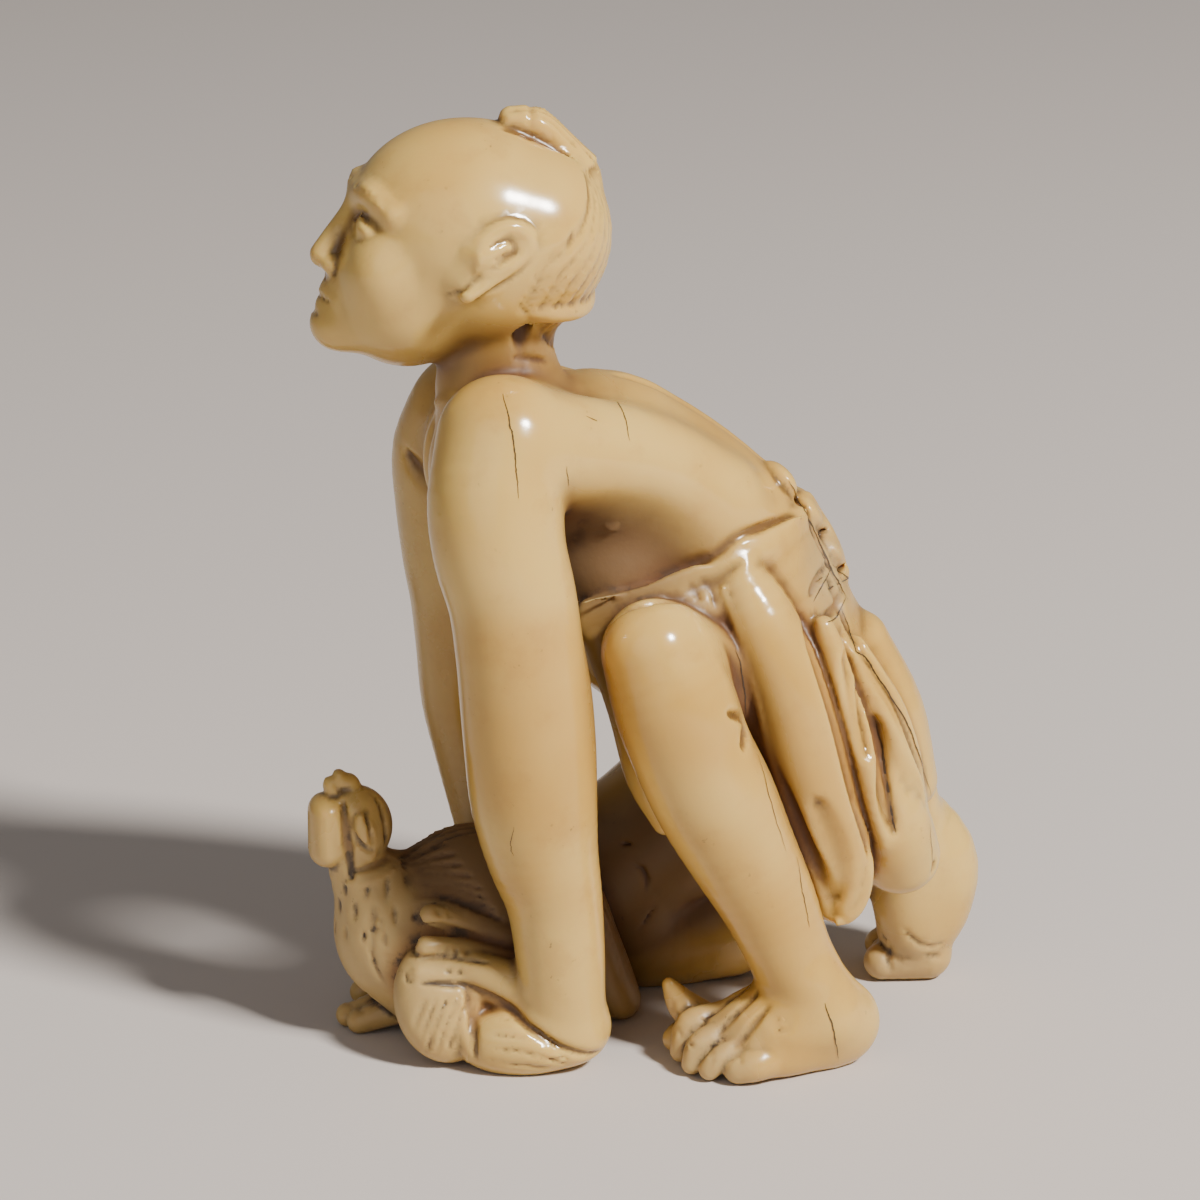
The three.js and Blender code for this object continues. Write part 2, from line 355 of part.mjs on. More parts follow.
// Thins a closed mesh by drawing edges together, cheapest first. The price of a step is the distance to
// the planes that the faces came from.
function thin({ positions, triangles }, target) {
  const place = Float64Array.from(positions);
  const count = place.length / 3;
  const quadric = Array.from({ length: count }, () => new Float64Array(10));
  const fans = Array.from({ length: count }, () => new Set());
  const stamp = new Uint32Array(count);
  const alive = new Uint8Array(triangles.length).fill(1);
  let left = triangles.length;

  const normal = ([a, b, c], moved = -1, other = -1, to = null) => {
    const [p, q, r] = [a, b, c].map((v) => (v === moved || v === other ? to
      : [place[3 * v], place[3 * v + 1], place[3 * v + 2]]));
    const [ux, uy, uz] = [q[0] - p[0], q[1] - p[1], q[2] - p[2]];
    const [vx, vy, vz] = [r[0] - p[0], r[1] - p[1], r[2] - p[2]];
    const n = [uy * vz - uz * vy, uz * vx - ux * vz, ux * vy - uy * vx];
    const size = Math.hypot(...n);
    return { n: n.map((c) => c / (size || 1)), area: size / 2, p };
  };
  triangles.forEach((t, f) => {
    const { n: [a, b, c], area, p } = normal(t);
    const d = -(a * p[0] + b * p[1] + c * p[2]);
    const terms = [a * a, a * b, a * c, a * d, b * b, b * c, b * d, c * c, c * d, d * d];
    for (const v of t) {
      fans[v].add(f);
      terms.forEach((term, i) => (quadric[v][i] += term * area));
    }
  });

  const cost = (q, [x, y, z]) => q[0] * x * x + q[4] * y * y + q[7] * z * z + q[9]
    + 2 * (q[1] * x * y + q[2] * x * z + q[5] * y * z + q[3] * x + q[6] * y + q[8] * z);
  const meeting = (a, b) => {
    const q = quadric[a].map((value, i) => value + quadric[b][i]);
    const middle = [0, 1, 2].map((i) => (place[3 * a + i] + place[3 * b + i]) / 2);
    const minor = [q[4] * q[7] - q[5] * q[5], q[2] * q[5] - q[1] * q[7], q[1] * q[5] - q[2] * q[4]];
    const det = q[0] * minor[0] + q[1] * minor[1] + q[2] * minor[2];
    let best = middle;
    if (Math.abs(det) > 1e-6 * (q[0] + q[4] + q[7]) ** 3) {
      const cofactor = [q[0] * q[7] - q[2] * q[2], q[1] * q[2] - q[0] * q[5], q[0] * q[4] - q[1] * q[1]];
      const solved = [
        -(minor[0] * q[3] + minor[1] * q[6] + minor[2] * q[8]) / det,
        -(minor[1] * q[3] + cofactor[0] * q[6] + cofactor[1] * q[8]) / det,
        -(minor[2] * q[3] + cofactor[1] * q[6] + cofactor[2] * q[8]) / det,
      ];
      const span = Math.hypot(...[0, 1, 2].map((i) => place[3 * a + i] - place[3 * b + i]));
      if (Math.hypot(...solved.map((c, i) => c - middle[i])) < 2 * span) best = solved;
    }
    const span2 = [0, 1, 2].reduce((sum, i) => sum + (place[3 * a + i] - place[3 * b + i]) ** 2, 0);
    return { to: best, price: Math.max(0, cost(q, best)) + 1e-6 * span2, q };
  };

  const heap = [];
  const lift = (item) => {
    let i = heap.push(item) - 1;
    while (i > 0 && heap[(i - 1) >> 1].price > item.price) {
      heap[i] = heap[(i - 1) >> 1];
      i = (i - 1) >> 1;
    }
    heap[i] = item;
  };
  const take = () => {
    const top = heap[0];
    const last = heap.pop();
    for (let i = 0; heap.length && i < heap.length;) {
      let child = 2 * i + 1;
      if (child + 1 < heap.length && heap[child + 1].price < heap[child].price) child++;
      if (child >= heap.length || heap[child].price >= last.price) {
        heap[i] = last;
        break;
      }
      heap[i] = heap[child];
      i = child;
    }
    return top;
  };
  const ring = (v) => {
    const around = new Set();
    for (const f of fans[v]) for (const w of triangles[f]) if (w !== v) around.add(w);
    return around;
  };
  const offer = (a, b) => {
    const { to, price } = meeting(a, b);
    lift({ a, b, to, price, when: stamp[a] + stamp[b] });
  };
  for (let v = 0; v < count; v++) for (const w of ring(v)) if (v < w) offer(v, w);

  while (left > target && heap.length) {
    const { a, b, to, when } = take();
    if (when !== stamp[a] + stamp[b] || !fans[a].size || !fans[b].size) continue;
    const shared = [...ring(a)].filter((v) => ring(b).has(v));
    if (shared.length !== 2) continue;
    const turns = [a, b].some((v) => [...fans[v]].some((f) => {
      const t = triangles[f];
      if (t.includes(a) && t.includes(b)) return false;
      const [before, after] = [normal(t), normal(t, a, b, to)];
      const across = before.n[0] * after.n[0] + before.n[1] * after.n[1] + before.n[2] * after.n[2];
      return across < 0.4 || after.area < 1e-5;
    }));
    if (turns) continue;
    to.forEach((c, i) => (place[3 * a + i] = c));
    quadric[a] = quadric[a].map((value, i) => value + quadric[b][i]);
    for (const f of fans[b]) {
      if (triangles[f].includes(a)) {
        for (const v of triangles[f]) if (v !== b) fans[v].delete(f);
        alive[f] = 0;
        left--;
      } else {
        triangles[f] = triangles[f].map((v) => (v === b ? a : v));
        fans[a].add(f);
      }
    }
    fans[b].clear();
    stamp[a]++;
    stamp[b]++;
    const around = ring(a);
    for (const v of around) offer(a, v);
  }
  return { positions: Float32Array.from(place), triangles: triangles.filter((_, f) => alive[f]) };
}

// ---------------------------------------------------------------- put together

torso();
pelvisAndRobe();
nearLeg();
farFoot();
head();
bird();
arms();
hands();

const wasm = await Module();
wasm.setup();

function toManifold(positions, triangles) {
  return new wasm.Manifold(new wasm.Mesh({
    numProp: 3,
    vertProperties: Float32Array.from(positions),
    triVerts: Uint32Array.from(triangles.flat()),
  }));
}

function block(size, centre) {
  const box = new THREE.BoxGeometry(...size).translate(...centre);
  box.deleteAttribute("normal");
  box.deleteAttribute("uv");
  const merged = mergeVertices(box);
  return toManifold(merged.attributes.position.array, [Array.from(merged.index.array)]);
}

const thinned = thin(skin(sample(BODY, GRID_STEP)), TRIANGLES);
const below = block([60, 60, SOLE_DEPTH], [0, 0, -SOLE_DEPTH / 2]);
const standing = toManifold(thinned.positions, thinned.triangles).subtract(below);
const pieces = standing.decompose().sort((a, b) => b.volume() - a.volume());
const { vertProperties, triVerts } = pieces[0].getMesh();

const geometry = new THREE.BufferGeometry();
geometry.setAttribute("position", new THREE.Float32BufferAttribute(vertProperties, 3));
geometry.setIndex([...triVerts]);
geometry.computeBoundingBox();
const middle = geometry.boundingBox.getCenter(new THREE.Vector3());
geometry.translate(-middle.x, -middle.y, -geometry.boundingBox.min.z);
geometry.computeVertexNormals();

const ivory = new THREE.MeshStandardMaterial({ name: "ivory", color: 0xe3c795, roughness: 0.38 });
const netsuke = new THREE.Mesh(geometry, ivory);
netsuke.name = "netsuke_carving";

const part = new THREE.Group();
part.name = "netsuke";
part.add(netsuke);

export default part;
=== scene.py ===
import json
import math

import bpy
import numpy as np
from mathutils import Matrix, Vector

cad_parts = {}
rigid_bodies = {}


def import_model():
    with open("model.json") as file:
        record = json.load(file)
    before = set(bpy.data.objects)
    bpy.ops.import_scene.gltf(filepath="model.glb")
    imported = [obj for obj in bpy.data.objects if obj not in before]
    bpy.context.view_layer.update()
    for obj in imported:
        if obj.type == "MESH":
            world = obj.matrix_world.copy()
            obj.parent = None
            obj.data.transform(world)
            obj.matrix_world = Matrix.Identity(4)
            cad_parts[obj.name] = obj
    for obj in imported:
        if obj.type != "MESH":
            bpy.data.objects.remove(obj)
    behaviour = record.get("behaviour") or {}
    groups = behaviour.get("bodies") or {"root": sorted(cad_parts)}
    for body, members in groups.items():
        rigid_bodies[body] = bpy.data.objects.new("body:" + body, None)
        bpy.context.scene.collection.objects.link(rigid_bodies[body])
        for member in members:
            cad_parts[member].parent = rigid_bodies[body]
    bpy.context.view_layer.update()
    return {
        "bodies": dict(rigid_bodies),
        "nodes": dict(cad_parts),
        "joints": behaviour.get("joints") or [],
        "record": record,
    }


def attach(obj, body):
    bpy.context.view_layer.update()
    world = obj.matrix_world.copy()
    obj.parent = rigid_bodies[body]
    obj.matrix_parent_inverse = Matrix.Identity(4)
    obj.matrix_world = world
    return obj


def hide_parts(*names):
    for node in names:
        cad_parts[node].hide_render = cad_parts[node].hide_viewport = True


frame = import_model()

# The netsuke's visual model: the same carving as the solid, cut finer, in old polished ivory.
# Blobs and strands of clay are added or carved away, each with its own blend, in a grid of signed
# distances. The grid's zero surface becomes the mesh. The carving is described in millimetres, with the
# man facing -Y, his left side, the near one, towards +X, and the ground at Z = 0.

rng = np.random.default_rng(7)

STEP = 0.15  # spacing of the clay's samples
LOW = np.array([-11.2, -15.4, -0.7])  # the grid's first corner
HIGH = np.array([13.4, 20.8, 45.4])  # and its last
FAR_OFF = 4.0  # the distance noted where no clay is near
MOST_TRIANGLES = 196000

MIDDLE = np.array([0.743, 2.472, 0.0])  # the middle of the plan, which the shared frame puts at its origin
SIDES = (1, -1)  # the near side, then the far side

HEAD_CENTRE = (1.0, -6.7, 38.0)
HEAD_PITCH = 18.0  # the face looks up by this much

# ---------- clay

COUNT = np.ceil((HIGH - LOW) / STEP).astype(int) + 1
clay = np.full(COUNT, FAR_OFF, np.float32)
LINES = [(LOW[i] + STEP * np.arange(COUNT[i])).astype(np.float32) for i in range(3)]


def frame_at(place, turn=(0, 0, 0)):
    """A local frame: a place and three turns in degrees, about X, then Y, then Z."""
    rx, ry, rz = (Matrix.Rotation(math.radians(t), 4, a) for t, a in zip(turn, "XYZ"))
    return np.array(Matrix.Translation(place) @ rx @ ry @ rz)


WORLD = frame_at((0, 0, 0))
THINNEST = 0.02  # radius that a strand never falls below
STRIDE = 0.05  # how finely the surface is searched for
SMOOTHING = np.array((1, 2, 3, 4, 3, 2, 1)) / 16  # weights that even out a stroke's course
SWELL = 0.6  # how soon a stroke grows to its full width: less is sooner


def window(low, high, within=None):
    """The part of the grid between two corners, as slices and as open coordinate arrays."""
    start = np.array([w.start for w in within]) if within else np.zeros(3, int)
    stop = np.array([w.stop for w in within]) if within else COUNT
    first = np.clip(np.floor((low - LOW) / STEP).astype(int), start, stop)
    last = np.clip(np.ceil((high - LOW) / STEP).astype(int) + 1, first, stop)
    where = tuple(slice(a, b) for a, b in zip(first, last))
    x, y, z = (line[w] for line, w in zip(LINES, where))
    return where, x[:, None, None], y[None, :, None], z[None, None, :]


def blob(centre, radii, turn=(0, 0, 0), frame=WORLD):
    """A ball stretched to three radii, then turned."""
    pose = frame @ frame_at(centre, turn)
    back = np.linalg.inv(pose)[:3]
    reach = np.sqrt(((pose[:3, :3] * np.array(radii)) ** 2).sum(1))

    def shape(margin):
        where, x, y, z = window(pose[:3, 3] - reach - margin, pose[:3, 3] + reach + margin)
        p = [(back[i, 0] * x + back[i, 1] * y + back[i, 2] * z + back[i, 3]) / radii[i] for i in range(3)]
        near = np.sqrt(p[0] ** 2 + p[1] ** 2 + p[2] ** 2)
        slope = np.sqrt((p[0] / radii[0]) ** 2 + (p[1] / radii[1]) ** 2 + (p[2] / radii[2]) ** 2) + 1e-9
        return near * (near - 1) / slope, where

    return shape


def smooth_path(points, steps):
    """Points along a Catmull-Rom curve through the given ones, which may have any number of columns."""
    p = np.atleast_2d(np.array(points, float))
    ends = np.vstack([2 * p[0] - p[1], p, 2 * p[-1] - p[-2]])
    t = np.arange(steps)[:, None] / steps
    spans = []
    for a, b, c, d in zip(ends, ends[1:], ends[2:], ends[3:]):
        v0, v1 = (c - a) / 2, (d - b) / 2
        spans.append((2 * b - 2 * c + v0 + v1) * t**3 + (3 * c - 3 * b - 2 * v0 - v1) * t**2 + v0 * t + b)
    return np.vstack(spans + [p[-1:]])


def strand(points, radii, wide=None, frame=WORLD, steps=4):
    """A cord of clay along a smooth path, with a radius at each point. wide = (axis, ratio) flattens it."""
    axis, ratio = wide or ((1, 0, 0), 1.0)
    axis = np.array(axis, float) / np.linalg.norm(axis)
    squeeze = 1 / ratio - 1
    placed = np.array(points, float) @ frame[:3, :3].T + frame[:3, 3]
    path = smooth_path(placed, steps)
    girth = np.maximum(THINNEST, smooth_path(np.array(radii, float)[:, None], steps)[:, 0])
    grown = girth * max(1.0, ratio)

    def shape(margin):
        low, high = (path - grown[:, None]).min(0) - margin, (path + grown[:, None]).max(0) + margin
        outer, _, _, _ = window(low, high)
        own = np.full([s.stop - s.start for s in outer], FAR_OFF, np.float32)
        for a, b, ra, rb, ga, gb in zip(path, path[1:], girth, girth[1:], grown, grown[1:]):
            reach = max(ga, gb) + margin
            where, x, y, z = window(np.minimum(a, b) - reach, np.maximum(a, b) + reach, outer)
            low, high = a + axis * squeeze * (a @ axis), b + axis * squeeze * (b @ axis)
            x, y, z = x - low[0], y - low[1], z - low[2]
            if squeeze:
                slide = squeeze * (x * axis[0] + y * axis[1] + z * axis[2] + low @ axis)
                x, y, z = x + slide * axis[0], y + slide * axis[1], z + slide * axis[2]
            d = high - low
            t = np.clip((x * d[0] + y * d[1] + z * d[2]) / (d @ d + 1e-12), 0, 1)
            gap = np.sqrt((x - t * d[0]) ** 2 + (y - t * d[1]) ** 2 + (z - t * d[2]) ** 2)
            gap = gap - ra - t * (rb - ra)
            inner = tuple(slice(w.start - o.start, w.stop - o.start) for w, o in zip(where, outer))
            own[inner] = np.minimum(own[inner], gap)
        return own, outer

    return shape


def add(shape, blend=0.5):
    """Joins a shape to the clay. Blend is how far their meeting line is filled."""
    own, where = shape(blend + 2 * STEP)
    old = clay[where]
    soft = np.maximum(0, blend - np.abs(old - own)) ** 2 / (4 * blend)
    clay[where] = np.minimum(old, own) - soft


def carve(shape, blend=0.3):
    """Cuts a shape out of the clay. Blend is how far its edge is rounded."""
    own, where = shape(blend + 2 * STEP)
    old = clay[where]
    soft = np.maximum(0, blend - np.abs(old + own)) ** 2 / (4 * blend)
    clay[where] = np.maximum(old, -own) + soft


def lay(points, radii, blend=0.5, wide=None):
    """Adds a strand."""
    add(strand(points, radii, wide), blend)


def depth_at(points, field=None):
    """The clay's signed distance, or another field of the same grid, at points between its samples."""
    field = clay if field is None else field
    g = (np.atleast_2d(points) - LOW) / STEP
    g = np.clip(g, 0, COUNT - 1.001)
    i = g.astype(int)
    f = g - i
    total = np.zeros(len(g))
    for corner in np.ndindex(2, 2, 2):
        c = np.array(corner)
        weight = np.prod(np.where(c, f, 1 - f), 1)
        total += weight * field[tuple((i + c).T)]
    return total


def onto(points, along, reach=1.5):
    """Points moved along a direction until they meet the clay, starting from reach before each of them."""
    place = points - along * reach
    found = np.zeros(len(points), bool)
    for _ in range(int(2 * reach / STRIDE)):
        inside = depth_at(place) < 0
        found |= inside
        place = np.where(found[:, None], place, place + STRIDE * along)
        if found.all():
            break
    return np.where(found[:, None], place, points)


def stroke(points, along, radius, depth, blend=0.1, taper=0.7, reach=1.5):
    """A groove that follows the clay's surface through points seen along a direction.

    With a depth below 0 it's a raised cord. Taper is the share of the radius that is lost at the ends. The
    course is smoothed, so that it doesn't fall into the hollows that it crosses.
    """
    along = np.broadcast_to(np.array(along, float), (len(points), 3))
    both = smooth_path(np.hstack([np.array(points, float), along]), 5)
    along = both[:, 3:] / np.linalg.norm(both[:, 3:], axis=1)[:, None]
    found = onto(both[:, :3], along, reach)
    travel = ((found - both[:, :3]) * along).sum(1)
    ends = len(SMOOTHING) // 2
    travel = np.convolve(np.pad(travel, ends, "edge"), SMOOTHING, "valid")
    path = both[:, :3] + along * travel[:, None]
    share = np.linspace(0, 1, len(path))
    radii = radius * (1 - taper + taper * np.sin(np.pi * share) ** SWELL)
    sunk = np.maximum(radii - depth, 0) if depth > 0 else -depth - radii
    shape = strand(path - along * sunk[:, None], radii, steps=1)
    (carve if depth > 0 else add)(shape, blend)


def between(first, last, count):
    """Paths spread evenly from one guide to another."""
    first, last = np.array(first, float), np.array(last, float)
    return [first + (last - first) * t for t in np.linspace(0, 1, count)]


# ---------- the man's body


def torso():
    spine = [(0.3, -4.2, 27.4), (0.3, -0.4, 27.1), (0.3, 1.5, 26.3), (0.3, 4.2, 24.3), (0.2, 6.2, 21.9),
             (0.1, 7.7, 17.7), (0, 9, 14), (0, 9.4, 11)]
    lay(spine, [3.3, 4.1, 4.1, 4.1, 4.2, 4.8, 5.3, 5.2], wide=((1, 0, 0), 1.35))
    add(blob((0.3, -4.6, 27.2), (6.2, 3.4, 4)), 1.2)  # chest
    add(blob((0.3, 0.6, 22.6), (5.2, 4.3, 3.8), (-20, 0, 0)), 1)  # belly
    lay([(-5.4, -5.2, 28), (0.3, -3.4, 29), (6, -5.2, 29.6)], [2.6, 2.5, 2.8], 1)
    for side, drop in ((1, 0), (-1, 0.9)):
        blade = [(6, -4.8, 29.3), (5.1, -1.6, 28.8), (4.4, 1.6, 27.8), (3.7, 4.6, 25.9)]
        blade = [(0.3 + side * (x - 0.3), y, z - drop) for x, y, z in blade]
        lay(blade, [2.6, 2.5, 2.3, 2.1], 0.9)
        carve(blob((0.3 + side * 8.4, 1.2, 24.4 - drop), (2.9, 4.2, 2.9), (-20, 0, 0)), 0.9)  # hollow flank


def pelvis_and_robe():
    add(blob((0, 3, 18.4), (6, 4.8, 3.3), (-8, 0, 0)), 1)  # lap
    lay([(-3, 9, 12.6), (-3.9, 4.6, 8.2), (-4.2, 1.6, 6)], [4.2, 3.9, 3.6], 0.8)  # far thigh
    lay([(-4.2, 1.4, 4.8), (-4.2, 3, 2.6), (-4, 6.8, 2.5)], [3.3, 3, 2.5], 0.8)  # far knee
    lay([(-4, 6.8, 3), (-3.6, 10.4, 5), (-2.6, 13.4, 7.4)], [2.6, 2.5, 2.4], 0.8)  # far shin
    # The band round the waist, and the knot and loose ends behind.
    band = [(5.1, -1.6, 21.1), (5.8, 0.8, 22), (6, 3.4, 22.8), (5.4, 6.2, 23.7), (3.1, 8.5, 24.2),
            (0, 9.5, 24.2), (-3.3, 8.5, 23.8), (-5.4, 5.6, 23), (-5.3, 2.4, 22.2), (-3.6, -0.4, 21.4)]
    lay(band, [0.45] * 10, 0.25, ((0, 0.1, 1), 2))
    lay([(0.9, 9.3, 24.8), (1, 10.1, 23.2), (1, 10.9, 21.4)], [0.5, 0.7, 0.6], 0.3)
    # Deep folds hang from the near hip.
    add(blob((5, 3.6, 21.6), (1.9, 2.2, 1.6)), 0.4)  # the cloth gathered behind the knee
    fold = [(5.4, 5.2, 22.8), (6.1, 6.2, 20.8), (6.6, 7.4, 18), (6.7, 8.2, 15.1), (6.6, 9.1, 12),
            (6.2, 9.9, 9), (5.9, 10.1, 7.4)]
    lay(fold, [1.3, 1.7, 1.85, 1.95, 1.9, 1.6, 1.3], 0.3)
    fold = [(5.9, 9.2, 20.4), (6.3, 9.8, 18.6), (6.6, 10.4, 16), (6.6, 11, 13.4), (5.9, 11.7, 10.2)]
    lay(fold, [0.5, 0.65, 0.75, 0.8, 0.8], 0.2)
    lay([(5, 11.7, 12.6), (4.4, 12.7, 10.2), (3.6, 13.5, 8.4)], [1.5, 2, 1.9], 0.6)  # its end
    fold = [(4.9, 10.7, 19.2), (5.1, 11.5, 17.4), (5, 12.2, 15.6), (4.5, 13, 12.8), (3.8, 13.6, 10.8)]
    lay(fold, [0.6, 0.9, 1.2, 1.35, 1.1], 0.25)
    behind = [(1.6, 12, 18.4), (1.6, 13.4, 15), (1.4, 14.2, 11.4)]
    lay(behind, [1.2, 1.5, 1.5], 0.4, ((1, 0, 0), 1.5))
    hem = [(4.9, -1, 20.2), (4.7, 0.2, 16.6), (5.1, 1.1, 13.4), (5.7, 2, 11.4)]
    lay(hem, [0.7, 0.7, 0.8, 0.6], 0.3)


def near_leg():
    lay([(7.4, 1.6, 20), (5.4, 4.6, 18.2), (3.8, 8, 16.4)], [2.3, 2.3, 2.6], 0.3)
    shin = [(7.8, 1.1, 20.2), (8.1, 1.9, 18), (8.2, 2.7, 15.7), (8.2, 3.8, 13.3), (8.1, 5, 10.8),
            (8, 6.3, 8.2), (8, 7.3, 5.7), (8, 8.1, 3.9)]
    lay(shin, [2.4, 2.75, 2.72, 2.75, 2.5, 2.2, 1.95, 2], 0.3)
    # A deep cut parts the leg from the robe.
    cut = [(8, 3.9, 22), (8, 4.6, 20.2), (7.9, 5.1, 18.4), (7.9, 5.5, 16.6), (7.9, 6.1, 15),
           (7.9, 7.1, 13), (7.7, 8, 11), (7.5, 8.9, 8.8), (7.2, 9.5, 6.8)]
    carve(strand(cut, [0.15, 0.3] + [0.4] * 7), 0.25)
    # Foot.
    add(blob((7.6, 9.3, 1.9), (1.9, 2.4, 2.2)), 0.9)
    instep = [(7.9, 8.4, 2.6), (7.9, 6.4, 2), (7.4, 4.8, 1.4)]
    lay(instep, [2, 1.9, 1.5], 0.8, ((0.85, 0.5, 0), 1.25))
    lay([(9.4, 5.6, 0.95), (9, 7.2, 0.95), (8.2, 8.8, 1.1)], [0.85, 0.95, 1.1], 0.6)  # outer edge
    toes = [  # root, knuckle and tip, with their radii, from the little toe inwards
        ((9.5, 6, 1), (9.7, 5.4, 0.9), (9.6, 4.7, 0.7), (0.85, 0.8, 0.7)),
        ((8.9, 5, 1.4), (9.1, 3.9, 1), (9.1, 3.45, 0.55), (0.7, 0.6, 0.5)),
        ((8, 4.4, 1.8), (8.2, 3.2, 1.4), (8.3, 2.8, 0.55), (0.75, 0.62, 0.5)),
        ((6.8, 4.4, 2.1), (6.9, 3, 1.85), (7.1, 2.5, 0.7), (0.8, 0.72, 0.5)),
        ((5.7, 4, 1), (5.7, 3, 0.9), (5.8, 2.5, 0.8), (1, 0.8, 0.6)),
        ((5.7, 3.8, 1.6), (5.7, 2.9, 2.4), (5.8, 2.2, 3.5), (0.9, 0.75, 0.35)),
    ]
    for root, knuckle, tip, radii in toes:
        lay([root, knuckle, tip], radii, 0.1)


def far_foot():
    heel = [(-2.6, 14.8, 8.4), (-2.4, 16.3, 6), (-2.4, 16.3, 4), (-2.3, 15.9, 2.4)]
    lay(heel, [1.9, 2.35, 2.3, 1.9])
    ankle = [(-1.6, 14.6, 9.6), (-1.5, 15, 7), (-1.6, 15.2, 4.6), (-1.7, 15.4, 2.8)]
    lay(ankle, [1.9, 1.9, 1.8, 1.5], 0.6)
    lay([(-1.9, 14.1, 0.9), (-1.9, 16.2, 1.2)], [0.9, 1.3], 0.2)  # great toe
    for x in (-3.3, -4.5):
        lay([(x, 14.6, 0.8), (x, 16.2, 1.3)], [0.75, 1.2], 0.15)


def arms():
    near = [(6, -5.6, 29.9), (6.9, -5.9, 27.4), (7.4, -5.8, 25.2), (7.7, -5.3, 23), (7.8, -5, 20.7),
            (7.7, -4.7, 18.3), (7.6, -4.5, 15.9), (7.3, -4.3, 13.4), (7, -3.9, 10.9), (6.7, -3.3, 8.4),
            (6.5, -3, 5.8), (6.2, -2.8, 3.2), (6, -2.3, 1.9)]
    lay(near, [2.7, 3, 2.95, 2.85, 2.85, 2.95, 2.95, 2.85, 2.55, 2.2, 2.05, 1.95, 1.75], 0.7)
    far = [(-5.2, -5.4, 28), (-6.1, -5.7, 26.2), (-6.4, -5.6, 23.9), (-6.5, -5.3, 21),
           (-6.6, -5, 19), (-6.6, -4.8, 16.5), (-6.5, -4.7, 14), (-6.2, -4.4, 11.5),
           (-5.8, -4.1, 9), (-5.3, -3.6, 6.2), (-4.8, -3, 3.6), (-4.6, -2.6, 1.9)]
    lay(far, [2.6, 3, 3, 2.95, 2.9, 2.85, 2.75, 2.5, 2.2, 2, 1.9, 1.7], 0.7)


def hands():
    palm = [1.5, 1.2, 1, 0.8]
    near = [(6, -2.6, 2.4), (5.9, -4.2, 3.5), (5.2, -6.2, 4.2), (4.7, -7.6, 4.7)]
    lay(near, palm, 0.4, ((0.5, -0.2, 0.85), 1.25))
    far = [(-4.6, -2.6, 2.4), (-4.5, -4.2, 3.5), (-4, -6.2, 4.2), (-3.5, -7.4, 4.7)]
    lay(far, palm, 0.4, ((-0.5, -0.2, 0.85), 1.25))
    fingers = [
        [(4.2, -5, 5.7), (3.9, -6.9, 6.4), (4.1, -8.6, 7)],
        [(4.9, -4.8, 4.7), (4.6, -6.8, 5.3), (4.7, -8.9, 5.7)],
        [(5.3, -5, 3.9), (5.1, -7.4, 4.3), (5, -9.2, 4.5)],
    ]
    for finger in fingers:
        lay(finger, [0.6, 0.55, 0.5], 0.15)
        lay([(1.2 - x, y, z) for x, y, z in finger], [0.6, 0.55, 0.5], 0.15)


# ---------- the head

HEAD = frame_at(HEAD_CENTRE, (-HEAD_PITCH, 0, 0))  # its own frame looks up


def lump(centre, radii, turn=(0, 0, 0)):
    """A blob placed in the head's own frame: x across, y back and z up from its centre."""
    return blob(centre, radii, turn, HEAD)


def cord(points, radii, wide=None):
    """A strand placed in the head's own frame."""
    return strand(points, radii, wide, HEAD)


